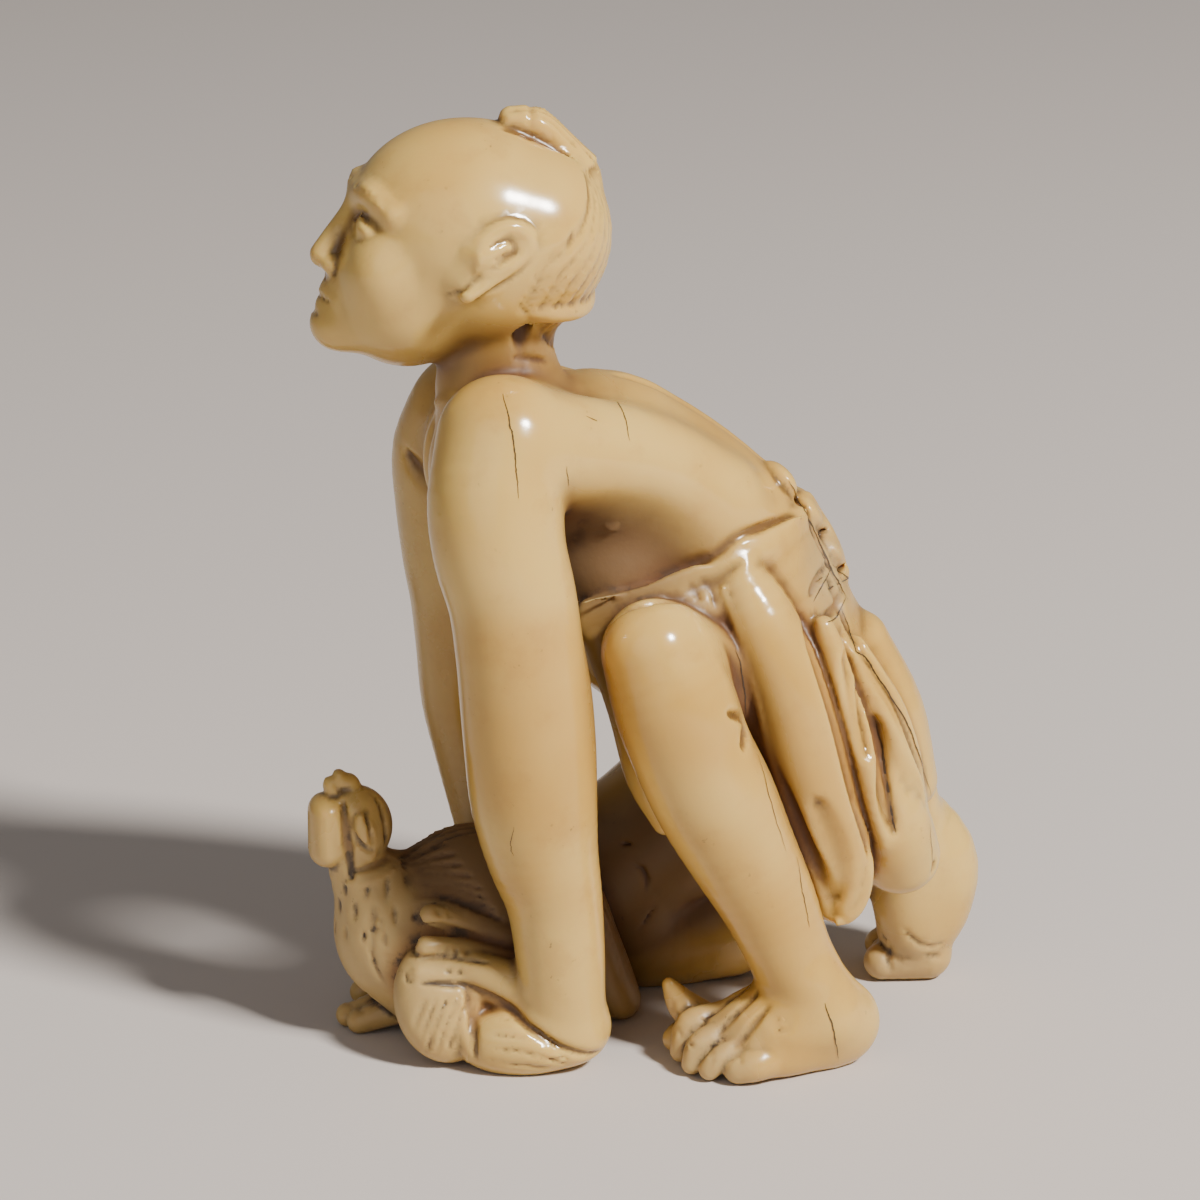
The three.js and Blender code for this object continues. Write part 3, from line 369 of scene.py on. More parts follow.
def head():
    lay([(0.9, -4.7, 30.4), (1, -4.9, 32.4), (1, -5, 35)], [3, 2.65, 2.8], 0.6)  # neck
    add(lump((0, 0.9, 0.4), (4.9, 5.9, 5)), 0.5)  # skull
    add(lump((0, 2.9, 1), (4.7, 4, 4.25)), 0.4)  # hair at the back of the head
    add(lump((0, -1.4, -2.6), (3.7, 3.6, 3.8)), 0.8)  # jaw
    add(lump((0, -3.85, -5.3), (1.5, 1.3, 1.2)), 0.9)  # chin
    for s in SIDES:
        add(lump((s * 2.1, -3, -2), (1.6, 1.5, 1.7)), 0.9)  # cheek
        brow = [(s * 0.6, -4.7, 0.7), (s * 1.9, -4.5, 1), (s * 3.1, -3.6, 0.6)]
        add(cord(brow, [0.4, 0.45, 0.35]), 0.7)
    for s in SIDES:
        carve(lump((s * 1.85, -5.3, -0.4), (1.1, 0.8, 0.62)), 0.5)  # eye socket
    for s in SIDES:
        add(lump((s * 1.8, -4.05, -0.5), (0.95, 0.75, 0.55)), 0.2)  # eye
    add(cord([(0, -4.6, 0.5), (0, -5.15, -1.2), (0, -5.45, -2.45)], [0.4, 0.48, 0.6]), 0.5)  # nose
    for s in SIDES:
        add(lump((s * 0.6, -5, -2.7), (0.42, 0.5, 0.4)), 0.3)  # wing of the nose
    add(lump((0, -3.9, -3.8), (1.5, 1, 1.3)), 0.6)  # mouth
    lips = (([(-1.25, -4.35, -4.05), (0, -4.85, -3.95), (1.25, -4.35, -4.05)], 0.3),
            ([(-1.05, -4.3, -4.45), (0, -4.75, -4.55), (1.05, -4.3, -4.45)], 0.33))
    for lip, thickness in lips:
        add(cord(lip, [0.2, thickness, 0.2]), 0.25)
    for s in SIDES:
        rim = [(0.3, 0.9), (0.7, 1.5), (1.4, 1.8), (2.1, 1.6), (2.3, 0.9), (1.9, 0.1), (1.2, -0.7),
               (0.3, -1.6)]
        rim = [(s * (4.85 - 0.1 * y), y, z) for y, z in rim]
        add(lump((s * 4.2, 1, 0), (0.85, 1.2, 2.1), (-35, 0, 0)), 0.5)  # ear
        add(cord(rim, [0.25, 0.3, 0.35, 0.35, 0.3, 0.3, 0.35, 0.4]), 0.2)
        carve(lump((s * 5.15, 1.2, 0.5), (0.6, 0.35, 0.8), (-55, 0, 0)), 0.2)
    # Topknot laid forward over the crown.
    knot = [(0, 4.9, 4.3), (0, 3.4, 5.2), (0, 2, 5.8), (0, 0.8, 5.7)]
    add(cord(knot, [0.8, 0.7, 0.75, 0.55], ((1, 0, 0), 1.3)), 0.25)
    for s in SIDES:  # the nape stands clear of the neck
        nape = [(0.9 + s * 2.9, -4.1, 35), (0.9 + s * 2.8, -4.2, 33.8), (0.9 + s * 2.9, -4, 32.4)]
        carve(strand(nape, [0.5, 0.4, 0.25]), 0.2)


# ---------- the bird

CLAW_TIPS = ((0.5, -11.5), (-0.4, -11.9), (-3.2, -10.9), (-4.2, -10.4))


def bird():
    add(blob((0.6, -6.2, 4.4), (4.1, 5.5, 4.7)), 0.5)
    add(blob((0.9, -5.9, 6), (3.2, 4.6, 4.1)), 0.8)  # back
    add(blob((1.2, -10.1, 5.5), (2.4, 2.6, 3.5)), 0.6)  # breast
    lay([(1.1, -9.6, 6), (1.3, -11.2, 8), (1.4, -11.7, 9.6)], [2.1, 1.6, 1.25], 0.7)  # neck
    add(blob((1.5, -11.7, 10.6), (1.5, 1.75, 1.95)), 0.15)  # head
    lay([(1.5, -13, 11.4), (1.5, -13, 9.6)], [0.85, 0.85], 0.2, ((1, 0, 0), 1.5))  # worn face
    for y, z, size in ((-12.7, 12.5, 0.45), (-12.3, 12.9, 0.4), (-11.8, 12.6, 0.45)):
        add(blob((1.5, y, z), (0.5, 0.9 * size, 1.3 * size), (25, 0, 0)), 0.12)  # stumps of the comb
    for x in (2.6, 0.4):
        add(blob((x, -11.4, 10.3), (0.45, 0.5, 1.1), (20, 0, 0)), 0.1)  # ear lobe
    # The tail droops to the ground between the man's wrists.
    tail = [(0.6, -3.4, 7.2), (0.6, -1.6, 6), (0.7, -0.6, 4.2), (0.7, 0.2, 2.4), (0.7, 0.8, 1)]
    lay(tail, [1.8, 1.6, 1.3, 1.15, 1], 0.6, ((1, 0, 0), 1.5))
    for s in SIDES:
        add(blob((0.6 + s * 4.1, -8.1, 3), (1.5, 2.3, 2.9), (10, -15 * s, 0)), 0.25)  # front of the wing
        add(blob((0.6 + s * 5.7, -4.6, 1.5), (1.6, 3.2, 1.7), (6, 0, -15 * s)), 0.2)  # its long feathers
    for x, y in CLAW_TIPS:
        lay([(x + 0.2, y + 2.2, 1.2), (x, y, 0.55)], [0.7, 0.6], 0.15)  # claws


torso()
pelvis_and_robe()
near_leg()
far_foot()
head()
bird()
arms()
hands()

# ---------- finer carving: the head

TURN = HEAD[:3, :3]
HAIR_GROOVES = 46
HAIR_SPREAD = 72  # degrees to each side of the back of the head


def in_head(points):
    """Points of the head's own frame, in the world's."""
    return np.array(points, float) @ TURN.T + HEAD[:3, 3]


def face_stroke(points, radius, depth, blend=0.08):
    """A groove or cord on the face, through (x, z) points seen from the front."""
    placed = in_head([(x, -7, z) for x, z in points])
    stroke(placed, TURN @ (0, 1, 0), radius, depth, blend, reach=3.6)


def side_stroke(side, points, radius, depth, blend=0.08):
    """The same on the side of the head, through (y, z) points."""
    placed = in_head([(side * 5.5, y, z) for y, z in points])
    stroke(placed, TURN @ (-side, 0, 0), radius, depth, blend, reach=1.5)


def face():
    for s in SIDES:
        upper = [(s * 0.95, -0.62), (s * 1.4, -0.28), (s * 1.95, -0.2), (s * 2.7, -0.55)]
        lower = [(s * 0.95, -0.66), (s * 1.5, -0.92), (s * 2.1, -0.9), (s * 2.7, -0.58)]
        face_stroke([(x, z + 0.16) for x, z in upper], 0.1, 0.12)  # crease over the lid
        face_stroke(upper, 0.13, -0.1)
        face_stroke(lower, 0.11, -0.07)
        midline = [(x, (z + w) / 2) for (x, z), (_, w) in zip(upper[1:3], lower[1:3])]
        face_stroke(midline, 0.12, 0.04)
        brow = [(s * 0.75, 0.75), (s * 1.5, 1.15), (s * 2.3, 1.15), (s * 3.1, 0.75)]
        face_stroke(brow, 0.2, -0.08)
        for x, z in between(brow[0], brow[3], 9):
            face_stroke([(x, z + 0.22), (x + s * 0.25, z + 0.45)], 0.07, 0.05)
        carve(lump((s * 0.42, -5.75, -3), (0.17, 0.3, 0.13)), 0.08)  # nostril
        wing = [(s * 0.98, -2.45), (s * 1.12, -2.8), (s * 0.92, -3.08)]
        face_stroke(wing, 0.09, 0.08)
    face_stroke([(-1.25, -4.3), (-0.5, -4.22), (0, -4.3), (0.5, -4.22), (1.25, -4.3)], 0.09, 0.14)  # mouth
    face_stroke([(0, -3.25), (0, -3.6)], 0.14, 0.06)  # between nose and lip
    face_stroke([(-0.7, -5), (0, -5.1), (0.7, -5)], 0.2, 0.08)  # above the chin


def ears():
    for s in SIDES:  # rubbed low
        side_stroke(s, [(0.3, 0.3), (0.9, 0.5), (1.4, 0.4)], 0.75, -0.3, blend=0.8)
        inner = [(0.55, 0.75), (1.2, 1.25), (1.75, 0.95), (1.4, 0.35), (0.8, -0.25)]
        side_stroke(s, inner, 0.2, 0.12)
        flap = [(0.15, 0.35), (0.35, -0.1), (0.3, -0.5)]
        side_stroke(s, flap, 0.22, -0.1)
        side_stroke(s, [(0.55, -0.6), (0, -1.5), (-0.5, -2)], 0.14, 0.08)  # before the lobe
        behind = [(2.6, 1), (2.2, 0), (1.4, -0.95), (0.5, -1.9), (-0.5, -2.4)]
        side_stroke(s, behind, 0.13, 0.12)
        jaw = [(-2.6, -4.6), (-1.2, -3.9), (0.4, -3.5), (2, -3.1)]
        side_stroke(s, jaw, 0.22, 0.12)


def hair():
    """Combed grooves, from the foot of the topknot, fanning out and down to the nape."""
    hub, radius = np.array([0, 1.4, 0.2]), 5.2
    for i in range(HAIR_GROOVES):
        swing = math.radians(-HAIR_SPREAD + 2 * HAIR_SPREAD * (i + 0.5) / HAIR_GROOVES)
        end = 124 + 8 * math.cos(swing) - 14 * abs(math.sin(swing)) ** 3
        t = np.linspace(0, 1, 9)
        fall = np.radians(38 + (end - 38) * t)
        sway = swing * (0.45 + 0.55 * np.minimum(1, 1.6 * t))
        outward = np.stack([np.sin(sway) * np.sin(fall), np.cos(sway) * np.sin(fall), np.cos(fall)], 1)
        placed = in_head(hub + radius * outward)
        depth = 0.07 + 0.03 * (i % 3)
        stroke(placed, -outward @ TURN.T, 0.15, depth, 0.06, reach=1.5, taper=0.4)
    for s in SIDES:  # the edge of the shaved crown
        line = [(1.6, 5.2), (2.3, 4.7), (3, 4.2), (3.7, 3.5), (4.1, 2.6), (4, 1.6)]
        side_stroke(s, line, 0.2, 0.09)
    # Ridge where the hair ends above the neck.
    edge = []
    for swing in np.radians(np.linspace(-75, 75, 13)):
        across, back = math.sin(swing), math.cos(swing)
        edge.append((3.6 * across, 2.6 + 3.9 * back, -1.05 - 0.7 * abs(across)))
    add(cord(edge, [0.25] + [0.42] * 11 + [0.25]), 0.35)


def topknot():
    for x in (-0.75, -0.45, -0.15, 0.15, 0.45, 0.75):
        tail = [(x * 0.9, 1.5, 8), (x, 2.6, 8), (x, 3.8, 8), (x * 1.3, 5.1, 8)]
        stroke(in_head(tail), TURN @ (0, 0, -1), 0.1, 0.07, 0.06, reach=3.5)
    ring = [(-1.1, 1.55, 5.2), (-0.8, 1.5, 6.1), (0, 1.5, 6.5), (0.8, 1.5, 6.1), (1.1, 1.55, 5.2)]
    carve(cord(ring, [0.13] * 5), 0.1)  # where the tie binds it
    for s in SIDES:
        carve(cord([(s * 0.4, 0.3, 6), (s * 0.35, 1.3, 6.35)], [0.12, 0.1]), 0.1)
        # The line where the topknot lies on the crown.
        foot = [(s * 1, 0.5, 5.35), (s * 1.1, 1.8, 5.3), (s * 1.2, 3.2, 4.95), (s * 1.2, 4.6, 4.2)]
        carve(cord(foot, [0.16, 0.16, 0.16, 0.1]), 0.15)


face()
ears()
hair()
topknot()

# ---------- finer carving: the body

NEAR = np.array((-0.94, 0.17, -0.29))  # the near side is carved along this direction


def facing(s):
    """The direction in which a side is carved: the far side's mirrors the near side's."""
    return NEAR * (s, 1, 1)


def near_stroke(x, points, radius, depth, blend=0.1, reach=2.5, taper=0.7):
    """A groove or cord on the near side, through (y, z) points that lie about x from the middle."""
    stroke([(x, y, z) for y, z in points], NEAR, radius, depth, blend, taper, reach)


def robe():
    # The first fold lies close against the leg.
    web = [(5.5, 4.6, 21.6), (5.7, 5.9, 18.2), (5.9, 7.3, 14.4), (6.1, 8.7, 10.8), (5.9, 9.5, 8.4)]
    lay(web, [0.9, 1.25, 1.3, 1.2, 0.8], 0.5)
    # Grooves between the hanging folds: a wide soft cut, then a narrow deep one.
    grooves = (
        (6.8, [(8, 21.2), (8.4, 20.2), (9, 18.8), (9.9, 16), (10.7, 12.8), (11.4, 10.1),
               (11.5, 8.4)]),
        (6.6, [(10.2, 19.2), (10.6, 17.9), (10.9, 15.8), (11.2, 14.4)]),
        (6.6, [(11.5, 16), (11.9, 14.1), (12.2, 12.4), (12.5, 10.7)]),
    )
    for x, path in grooves:
        near_stroke(x, path, 0.6, 0.26, blend=0.4)
        near_stroke(x, path, 0.16, 0.2, blend=0.15)
    back = [(9.6, 22.5), (10.5, 20.3), (11.2, 18.8), (12.7, 16.4), (13.9, 13.6), (14.6, 11.7)]
    near_stroke(5.6, back, 0.4, 0.28, blend=0.3)
    near_stroke(5.6, [(y - 0.35, z - 0.1) for y, z in back], 0.16, -0.1, blend=0.15)  # its lip
    # The first fold ends in a shallow dish with a raised rim.
    dish = [(8.5, 12.8), (9.2, 11.2), (9.7, 9.8), (9.8, 8.6), (9.5, 7.7)]
    near_stroke(7.8, dish, 0.8, 0.22, blend=0.4, taper=0.9)
    rim = [(10.3, 12.4), (10.9, 10.6), (11.1, 9.1), (10.9, 7.7), (10.3, 6.8), (9.6, 6.5)]
    near_stroke(7.4, rim, 0.3, -0.14, blend=0.3, taper=0.9)
    nick = [(4.3, 17.3), (5.1, 17), (5.1, 16.2), (5, 15.6)]  # at the back of the knee
    near_stroke(8.2, nick, 0.3, 0.26, blend=0.15)
    # Thin hems along the leg and in the hollow of the lap.
    hem = [(4.2, 23.1), (5.4, 19.8), (6.5, 15.4), (7.6, 11.8), (8.6, 9)]
    near_stroke(6.8, hem, 0.2, -0.1, blend=0.15)
    for path in ([(3.4, 23.2), (3.9, 22.6), (4.1, 21.7)], [(2.9, 23.1), (3.4, 22.1)]):
        near_stroke(6.5, path, 0.16, 0.12)
    # Small folds and old cuts low on the back fold.
    cuts = ((14.4, 8.3, 1), (15, 7.9, 0.9), (15.5, 7.6, 0.8), (13.8, 8.6, 0.6), (16, 7.9, 0.6))
    for y, z, length in cuts:
        near_stroke(2.5, [(y, z), (y + 0.2, z - 0.4 * length), (y + 0.1, z - length)], 0.12, 0.1)
    # The same folds, plainer, on the far side.
    aside, behind = (0.9, -0.4, 0), (0.45, -0.9, 0)
    far_grooves = (
        ((-6.3, 6.2, 22), (-6.6, 8.4, 12.5), aside),
        ((-5.9, 8.6, 21.2), (-5.9, 10.9, 11.6), aside),
        ((-4.4, 10.6, 20.2), (-4.4, 12.9, 11.2), aside),
        ((-1.8, 11.6, 19.6), (-1.7, 14, 11.2), behind),
    )
    for start, end, inward in far_grooves:
        middle = [(a + b) / 2 + c for a, b, c in zip(start, end, (0, 0.5, 0))]
        stroke([start, middle, end], inward, 0.5, 0.38, 0.35, reach=3)
        stroke([start, middle, end], inward, 0.2, 0.42, 0.15, reach=3)


TEARS = (  # in the knot and the band above it
    [(7.8, 27.1), (8.8, 25.2), (9.9, 22.7), (10.6, 21.3)],
    [(9.8, 22.8), (9.3, 22), (8.9, 21.3)],
    [(10.5, 21.4), (10, 20.5), (9.5, 20.3)],
)


def sash():
    # The band's upper edge stands up as a thin rim, and the knot behind has broken edges.
    rim = [(-2.1, 22), (0.9, 22.5), (3.5, 23.4), (4.3, 23.7), (5.3, 24.4), (6.3, 24.8), (8.4, 25.6)]
    near_stroke(5.6, rim, 0.2, -0.12, blend=0.15, reach=3)
    near_stroke(5.6, [(y, z + 0.3) for y, z in rim], 0.3, 0.1, blend=0.2, reach=3)
    near_stroke(5.6, [(y + 0.1, z - 0.9) for y, z in rim[:5]], 0.3, 0.08, blend=0.3, reach=3)
    for path in (*TEARS, [(10, 23.6), (10.5, 22.9), (10.4, 22.2), (11.3, 22)]):
        near_stroke(4, path, 0.22, 0.2, blend=0.15, reach=4)
    for y, z in ((8.1, 26), (9.3, 24.4), (10.3, 22.6)):
        add(blob((0.9, y, z), (1.5, 0.55, 1), (35, 0, 12)), 0.3)  # lumps of the knot
        carve(blob((0.9, y + 0.6, z - 0.9), (1.6, 0.35, 0.15), (20, 0, 8)), 0.15)


def body():
    near_stroke(5, [(-0.6, 25.4), (-0.35, 25.2), (-0.1, 25.4)], 0.16, -0.1)  # nipple
    neck_crease = [(-4.7, 33.2), (-3.9, 33.1), (-3.1, 33)]
    near_stroke(4.5, neck_crease, 0.16, 0.08)
    # Collar bones, breastbone and ribs, soft.
    for s in SIDES:
        bone = [(0.3 + s * 1, -6.5, 30.4), (0.3 + s * 2.2, -6, 30.7), (0.3 + s * 3.4, -5.5, 31)]
        stroke(bone, (0, 1, 0), 0.3, -0.14, 0.4, reach=6)
        breast = [(0.3 + s * 1, -8, 25.6), (0.3 + s * 3.2, -8, 25), (0.3 + s * 5, -8, 26.4)]
        stroke(breast, (0, 1, 0), 0.5, 0.2, 0.5, reach=4)
    breastbone = [(0.3, -8, 29.6), (0.3, -8, 27.6), (0.3, -8, 25.8)]
    stroke(breastbone, (0, 1, 0), 0.45, 0.16, 0.5, reach=4)
    spine = [(0.3, 2, 33), (0.3, 4, 31.5), (0.3, 6, 29.5), (0.3, 8, 27)]
    stroke(spine, (0, -0.5, -0.85), 0.5, 0.2, 0.5, reach=6)


def near_foot():
    # Grooves between the toes run up onto the foot.
    gaps = (
        [(9.2, 4.6, 1.2), (9, 5.6, 1.7), (8.7, 6.6, 2.4)],
        [(8.5, 4, 1.8), (8.2, 5, 2.3), (8, 6.2, 3)],
        [(7.4, 3.6, 2.2), (7.2, 4.6, 2.6), (7.1, 5.8, 3.3)],
        [(6.3, 3.4, 2.2), (6.2, 4.4, 2.6), (6.3, 5.4, 3.2)],
    )
    for path in gaps:
        stroke(path, (-0.45, 0.35, -0.82), 0.18, 0.16, 0.15, reach=1.8)
    nails = ((9.85, 4.55, 0.8), (9.25, 3.3, 0.95), (8.45, 2.65, 0.95), (7.2, 2.3, 1.15))
    for x, y, z in nails:
        ring = [(x - 0.25, y - 0.1, z), (x - 0.2, y + 0.3, z + 0.3), (x + 0.2, y + 0.3, z + 0.3),
                (x + 0.3, y - 0.05, z)]
        stroke(ring, (-0.35, 0.6, -0.7), 0.08, 0.08, 0.05, reach=1.2)
    great_toe = [(6.6, 2.3, 3.1), (6.5, 2.2, 2.4), (6.45, 2.5, 1.8)]
    stroke(great_toe, (-0.9, 0.2, -0.2), 0.1, 0.08, 0.05, reach=1.2)
    square = [(6.5, 3.2), (6.4, 2.7), (6.6, 2.6), (6.9, 2.7), (6.8, 3.2)]  # a small scar by the ankle
    near_stroke(10, square, 0.07, 0.07, reach=2)
    add(blob((9.3, 7.9, 4.6), (0.6, 0.8, 0.7)), 0.8)  # outer ankle bone


def far_foot_creases():
    creases = (
        (0, [(14.7, 3.2), (15.3, 2.5), (16, 2.2), (16.7, 2.3)], 0.14, 0.12),
        (0, [(16.7, 1.6), (15.7, 1.8)], 0.12, 0.1),
        (0, [(14.2, 2.4), (14, 1.6), (14.2, 0.9)], 0.14, 0.12),
        (-0.5, [(13.1, 2.5), (13.5, 2.8), (14, 2.5)], 0.14, 0.1),
    )
    for crease in creases:
        near_stroke(*crease, reach=3)
    for x in (-2.7, -3.9):
        gap = [(x, 13.4, 1), (x, 14.6, 1.9), (x, 15.4, 2.6)]
        stroke(gap, (0, 0.7, -0.7), 0.16, 0.16, 0.12)


# ---------- finer carving: the bird

def both_hands():
    # Fingers: gaps between them, wrinkled knuckles and nails.
    gaps = (
        (4.8, [(-9.3, 6.9), (-8.3, 6.7), (-7.2, 6.3), (-6.3, 5.9)]),
        (5.4, [(-9.3, 5.4), (-8.4, 5.4), (-7, 5.2), (-6.2, 5)]),
    )
    for x, path in gaps:
        near_stroke(x, path, 0.17, 0.16, blend=0.12)
    wrinkles = (  # depth, top end and length
        (5.2, -8.4, 5.9, 0.35), (5.2, -8.05, 5.85, 0.4), (5.2, -7.6, 5.75, 0.4), (5.2, -7.1, 5.6, 0.3),
        (4.6, -8.3, 7.4, 0.3), (4.6, -7.8, 7.2, 0.3), (5.5, -8, 4.9, 0.25), (5.5, -7.5, 4.8, 0.25),
    )
    for x, y, z, length in wrinkles:
        near_stroke(x, [(y, z), (y + 0.05, z - length)], 0.12, 0.12, blend=0.06)
    nails = ((4.6, -9, 7.5), (5.2, -9.1, 6.1), (5.6, -9.5, 4.9))
    for x, y, z in nails:
        nail = [(y, z), (y - 0.45, z - 0.1), (y - 0.45, z - 0.5), (y, z - 0.55)]
        near_stroke(x, nail, 0.07, 0.07, blend=0.05)
    # The edge of the palm lies on the wing.
    edge = [(-9.5, 4.7), (-7.7, 4.5), (-5.8, 3.6), (-4.5, 2.4), (-3.1, 1.4), (-1.9, 0.9), (-1.2, 0.9)]
    near_stroke(7, edge, 0.24, 0.24, blend=0.2)
    near_stroke(6.3, [(-4, 8.6), (-3.6, 8.3), (-3.2, 8.2)], 0.12, 0.05)  # crease of the wrist
    for x, y, z in ((-3.6, -8.4, 5.7), (-3.9, -7.6, 4.7)):  # between the far hand's fingers
        gap = [(x, y, z), (x - 0.2, y + 1.6, z - 0.1), (x - 0.3, y + 3, z - 0.4)]
        stroke(gap, (0.85, 0, -0.5), 0.15, 0.14, 0.1, reach=2)


BIRD_MIDDLE = 0.6  # the x of the middle of the bird's body
BREAST = np.array((1.2, -9.8, 0))
BREAST_RADIUS = 2.6


def wings():
    near_stroke(6.5, [(-7.7, 4.2), (-7.5, 3.2), (-7.4, 2), (-7.3, 0.6)], 0.22, -0.1, blend=0.12)
    near_stroke(6.5, [(-7.3, 4), (-7.1, 3), (-7, 2), (-6.9, 0.8)], 0.25, 0.14, blend=0.2)
    for s in SIDES:
        inner, outer, end = BIRD_MIDDLE + s * 6, BIRD_MIDDLE + s * 7.4, BIRD_MIDDLE + s * 7.2
        for i in range(5):  # quills fanning over the front of the wing
            y = -9.9 + 0.5 * i
            quill = [(inner, y - 0.4, 1), (inner, y + 0.1, 2.4), (BIRD_MIDDLE + s * 5.6, y + 0.8, 3.8)]
            stroke(quill, facing(s), 0.12, 0.08, 0.08, reach=2.5)
        for i in range(4):  # long feathers on the ground
            z = 0.7 + 0.65 * i
            quill = [(outer, -6.8, z + 0.5), (outer, -4.6, z + 0.1), (end, -2.6, 0.3 * z + 0.2)]
            stroke(quill, facing(s), 0.09, 0.035, 0.06, reach=2.5)


def bird_body():
    # Back feathers: long curved quills that fan out from the foot of the neck.
    first = [(-9.9, 9.3), (-9, 9.95), (-8, 10.5)]
    last = [(-9.4, 7.6), (-7.6, 7.4), (-5.1, 6.2)]
    for path in between(first, last, 9):
        near_stroke(3, path, 0.2, 0.24, blend=0.1, reach=3.5)
        stroke([(-1.8, y, z) for y, z in path], facing(-1), 0.15, 0.14, 0.1, reach=3.5)
    for i in range(5):  # along the ridge of the back
        x = -0.3 + 0.45 * i
        stroke([(x, -9, 11.5), (x, -7, 12), (x, -4.8, 11.8)], (0, 0, -1), 0.15, 0.15, 0.1, reach=4)
    # Breast: short strokes in rows, a ring, and one long edge.
    for row, z in enumerate((8, 6.9, 5.7)):
        for i in range(8):
            swing = math.radians(-84 + 22 * i + 11 * (row % 2))
            out = np.array((math.sin(swing), -math.cos(swing), 0))
            middle = BREAST + out * BREAST_RADIUS + (0, 0, z)
            half = np.array((0, 0, 0.55 - 0.1 * row))
            stroke([middle + half, middle, middle - half], -out, 0.13, 0.16, 0.08, reach=2)
    edge = [(-11.2, 7.2), (-11, 6.2), (-11.1, 5), (-10.9, 4), (-10.5, 3.2)]
    near_stroke(2.6, edge, 0.14, 0.12)
    around = np.radians(np.arange(0, 361, 45))
    ring = [(-10.9 + 0.32 * math.cos(t), 6.2 + 0.32 * math.sin(t)) for t in around]
    near_stroke(2.6, ring, 0.08, 0.08, taper=0)
    for s in SIDES:  # tail feathers
        for i in range(4):
            x = 0.65 + s * (0.25 + 0.45 * i)
            quill = [(x, -2.6, 8.6), (x, -0.8, 7.4), (x, 0.6, 5), (x, 1.4, 2.2)]
            stroke(quill, (0, -0.8, -0.6), 0.1, 0.08, 0.08, reach=3)


def bird_head():
    middle, half_width = 1.45, 1.55
    marks = (  # path, radius, depth and blend
        ([(-11.6, 11.5), (-11.45, 10.9), (-11.2, 10.4)], 0.5, -0.34, 0.12),  # ear lobe
        ([(-11.9, 11.9), (-12, 10.9), (-11.6, 10.2), (-11, 9.8), (-11.1, 10.6), (-11.5, 12.1)],
         0.2, 0.24, 0.08),  # the groove round it
        ([(-12.45, 12.5), (-12.3, 10.9), (-12.15, 9.4), (-12.1, 8.4)], 0.3, 0.34, 0.08),  # face's edge
        ([(-12, 8.9), (-11.4, 9), (-10.8, 9.2), (-10.2, 9.5)], 0.2, 0.24, 0.1),  # collar
        ([(-12.4, 8.3), (-11.6, 8.3), (-10.8, 8.5), (-10, 8.9)], 0.2, -0.14, 0.1),  # fold below it
        ([(-11.1, 12.6), (-10.7, 11.9), (-10.5, 11), (-10.5, 9.9)], 0.16, 0.18, 0.1),  # nape
    )
    for s in SIDES:
        for path, radius, depth, blend in marks:
            placed = [(middle + s * half_width, y, z) for y, z in path]
            stroke(placed, facing(s), radius, depth, blend, reach=2)


def claws():
    for x, y in CLAW_TIPS:  # two creases across each claw
        first = [(x + 0.5, y + 0.6, 1.4), (x, y + 0.3, 1.5), (x - 0.5, y + 0.6, 1.4)]
        stroke(first, (0, 0, -1), 0.1, 0.1, 0.08)
        second = [(x + 0.4, y + 0.1, 1.2), (x, y - 0.1, 1.3), (x - 0.4, y + 0.1, 1.2)]
        stroke(second, (0, 0.5, -0.85), 0.09, 0.09, 0.08)
    between_claws = [(0.9, -12.2, 1.6), (0.7, -11.6, 1.9), (0.8, -10.9, 2.2)]
    stroke(between_claws, (-0.9, 0.2, -0.3), 0.1, 0.1, 0.08, reach=2)


robe()
sash()
body()
near_foot()
far_foot_creases()
both_hands()
wings()
bird_body()
bird_head()
claws()

# ---------- from clay to mesh

def surface_net(values):
    """Vertices and quads of the zero surface, one vertex to each cell that the surface crosses."""
    inside = values < 0
    size = np.array(values.shape) - 1
    corners = np.array(list(np.ndindex(2, 2, 2)))
    axes = np.eye(3, dtype=int)
    filled = sum(inside[tuple(map(slice, c, c + size))].astype(int) for c in corners)
    cells = np.argwhere((filled > 0) & (filled < 8))
    number = np.full(size, -1, np.int32)
    number[tuple(cells.T)] = np.arange(len(cells))
    total = np.zeros((len(cells), 3))
    hits = np.zeros(len(cells))
    for corner in corners:
        for step in axes[corner == 0]:  # along each of the cell's edges that start there
            a, b = (values[tuple((cells + c).T)] for c in (corner, corner + step))
            cross = (a < 0) != (b < 0)
            t = np.where(cross, a / np.where(cross, a - b, 1), 0)
            total += (corner + t[:, None] * step) * cross[:, None]
            hits += cross
    vertices = LOW + STEP * (cells + total / hits[:, None])
    quads = []
    for axis in range(3):
        u, v = (axis + 1) % 3, (axis + 2) % 3
        edges = np.argwhere(np.diff(inside, axis=axis))
        bounded = (edges > 0) & (edges < size)
        edges = edges[bounded[:, u] & bounded[:, v]]
        around = (axes[u] + axes[v], axes[v], 0 * axes[u], axes[u])  # the four cells that share an edge
        ring = np.stack([number[tuple((edges - step).T)] for step in around], 1)
        out = inside[tuple(edges.T)]
        quads.append(np.where(out[:, None], ring, ring[:, ::-1]))
    return vertices, np.vstack(quads)


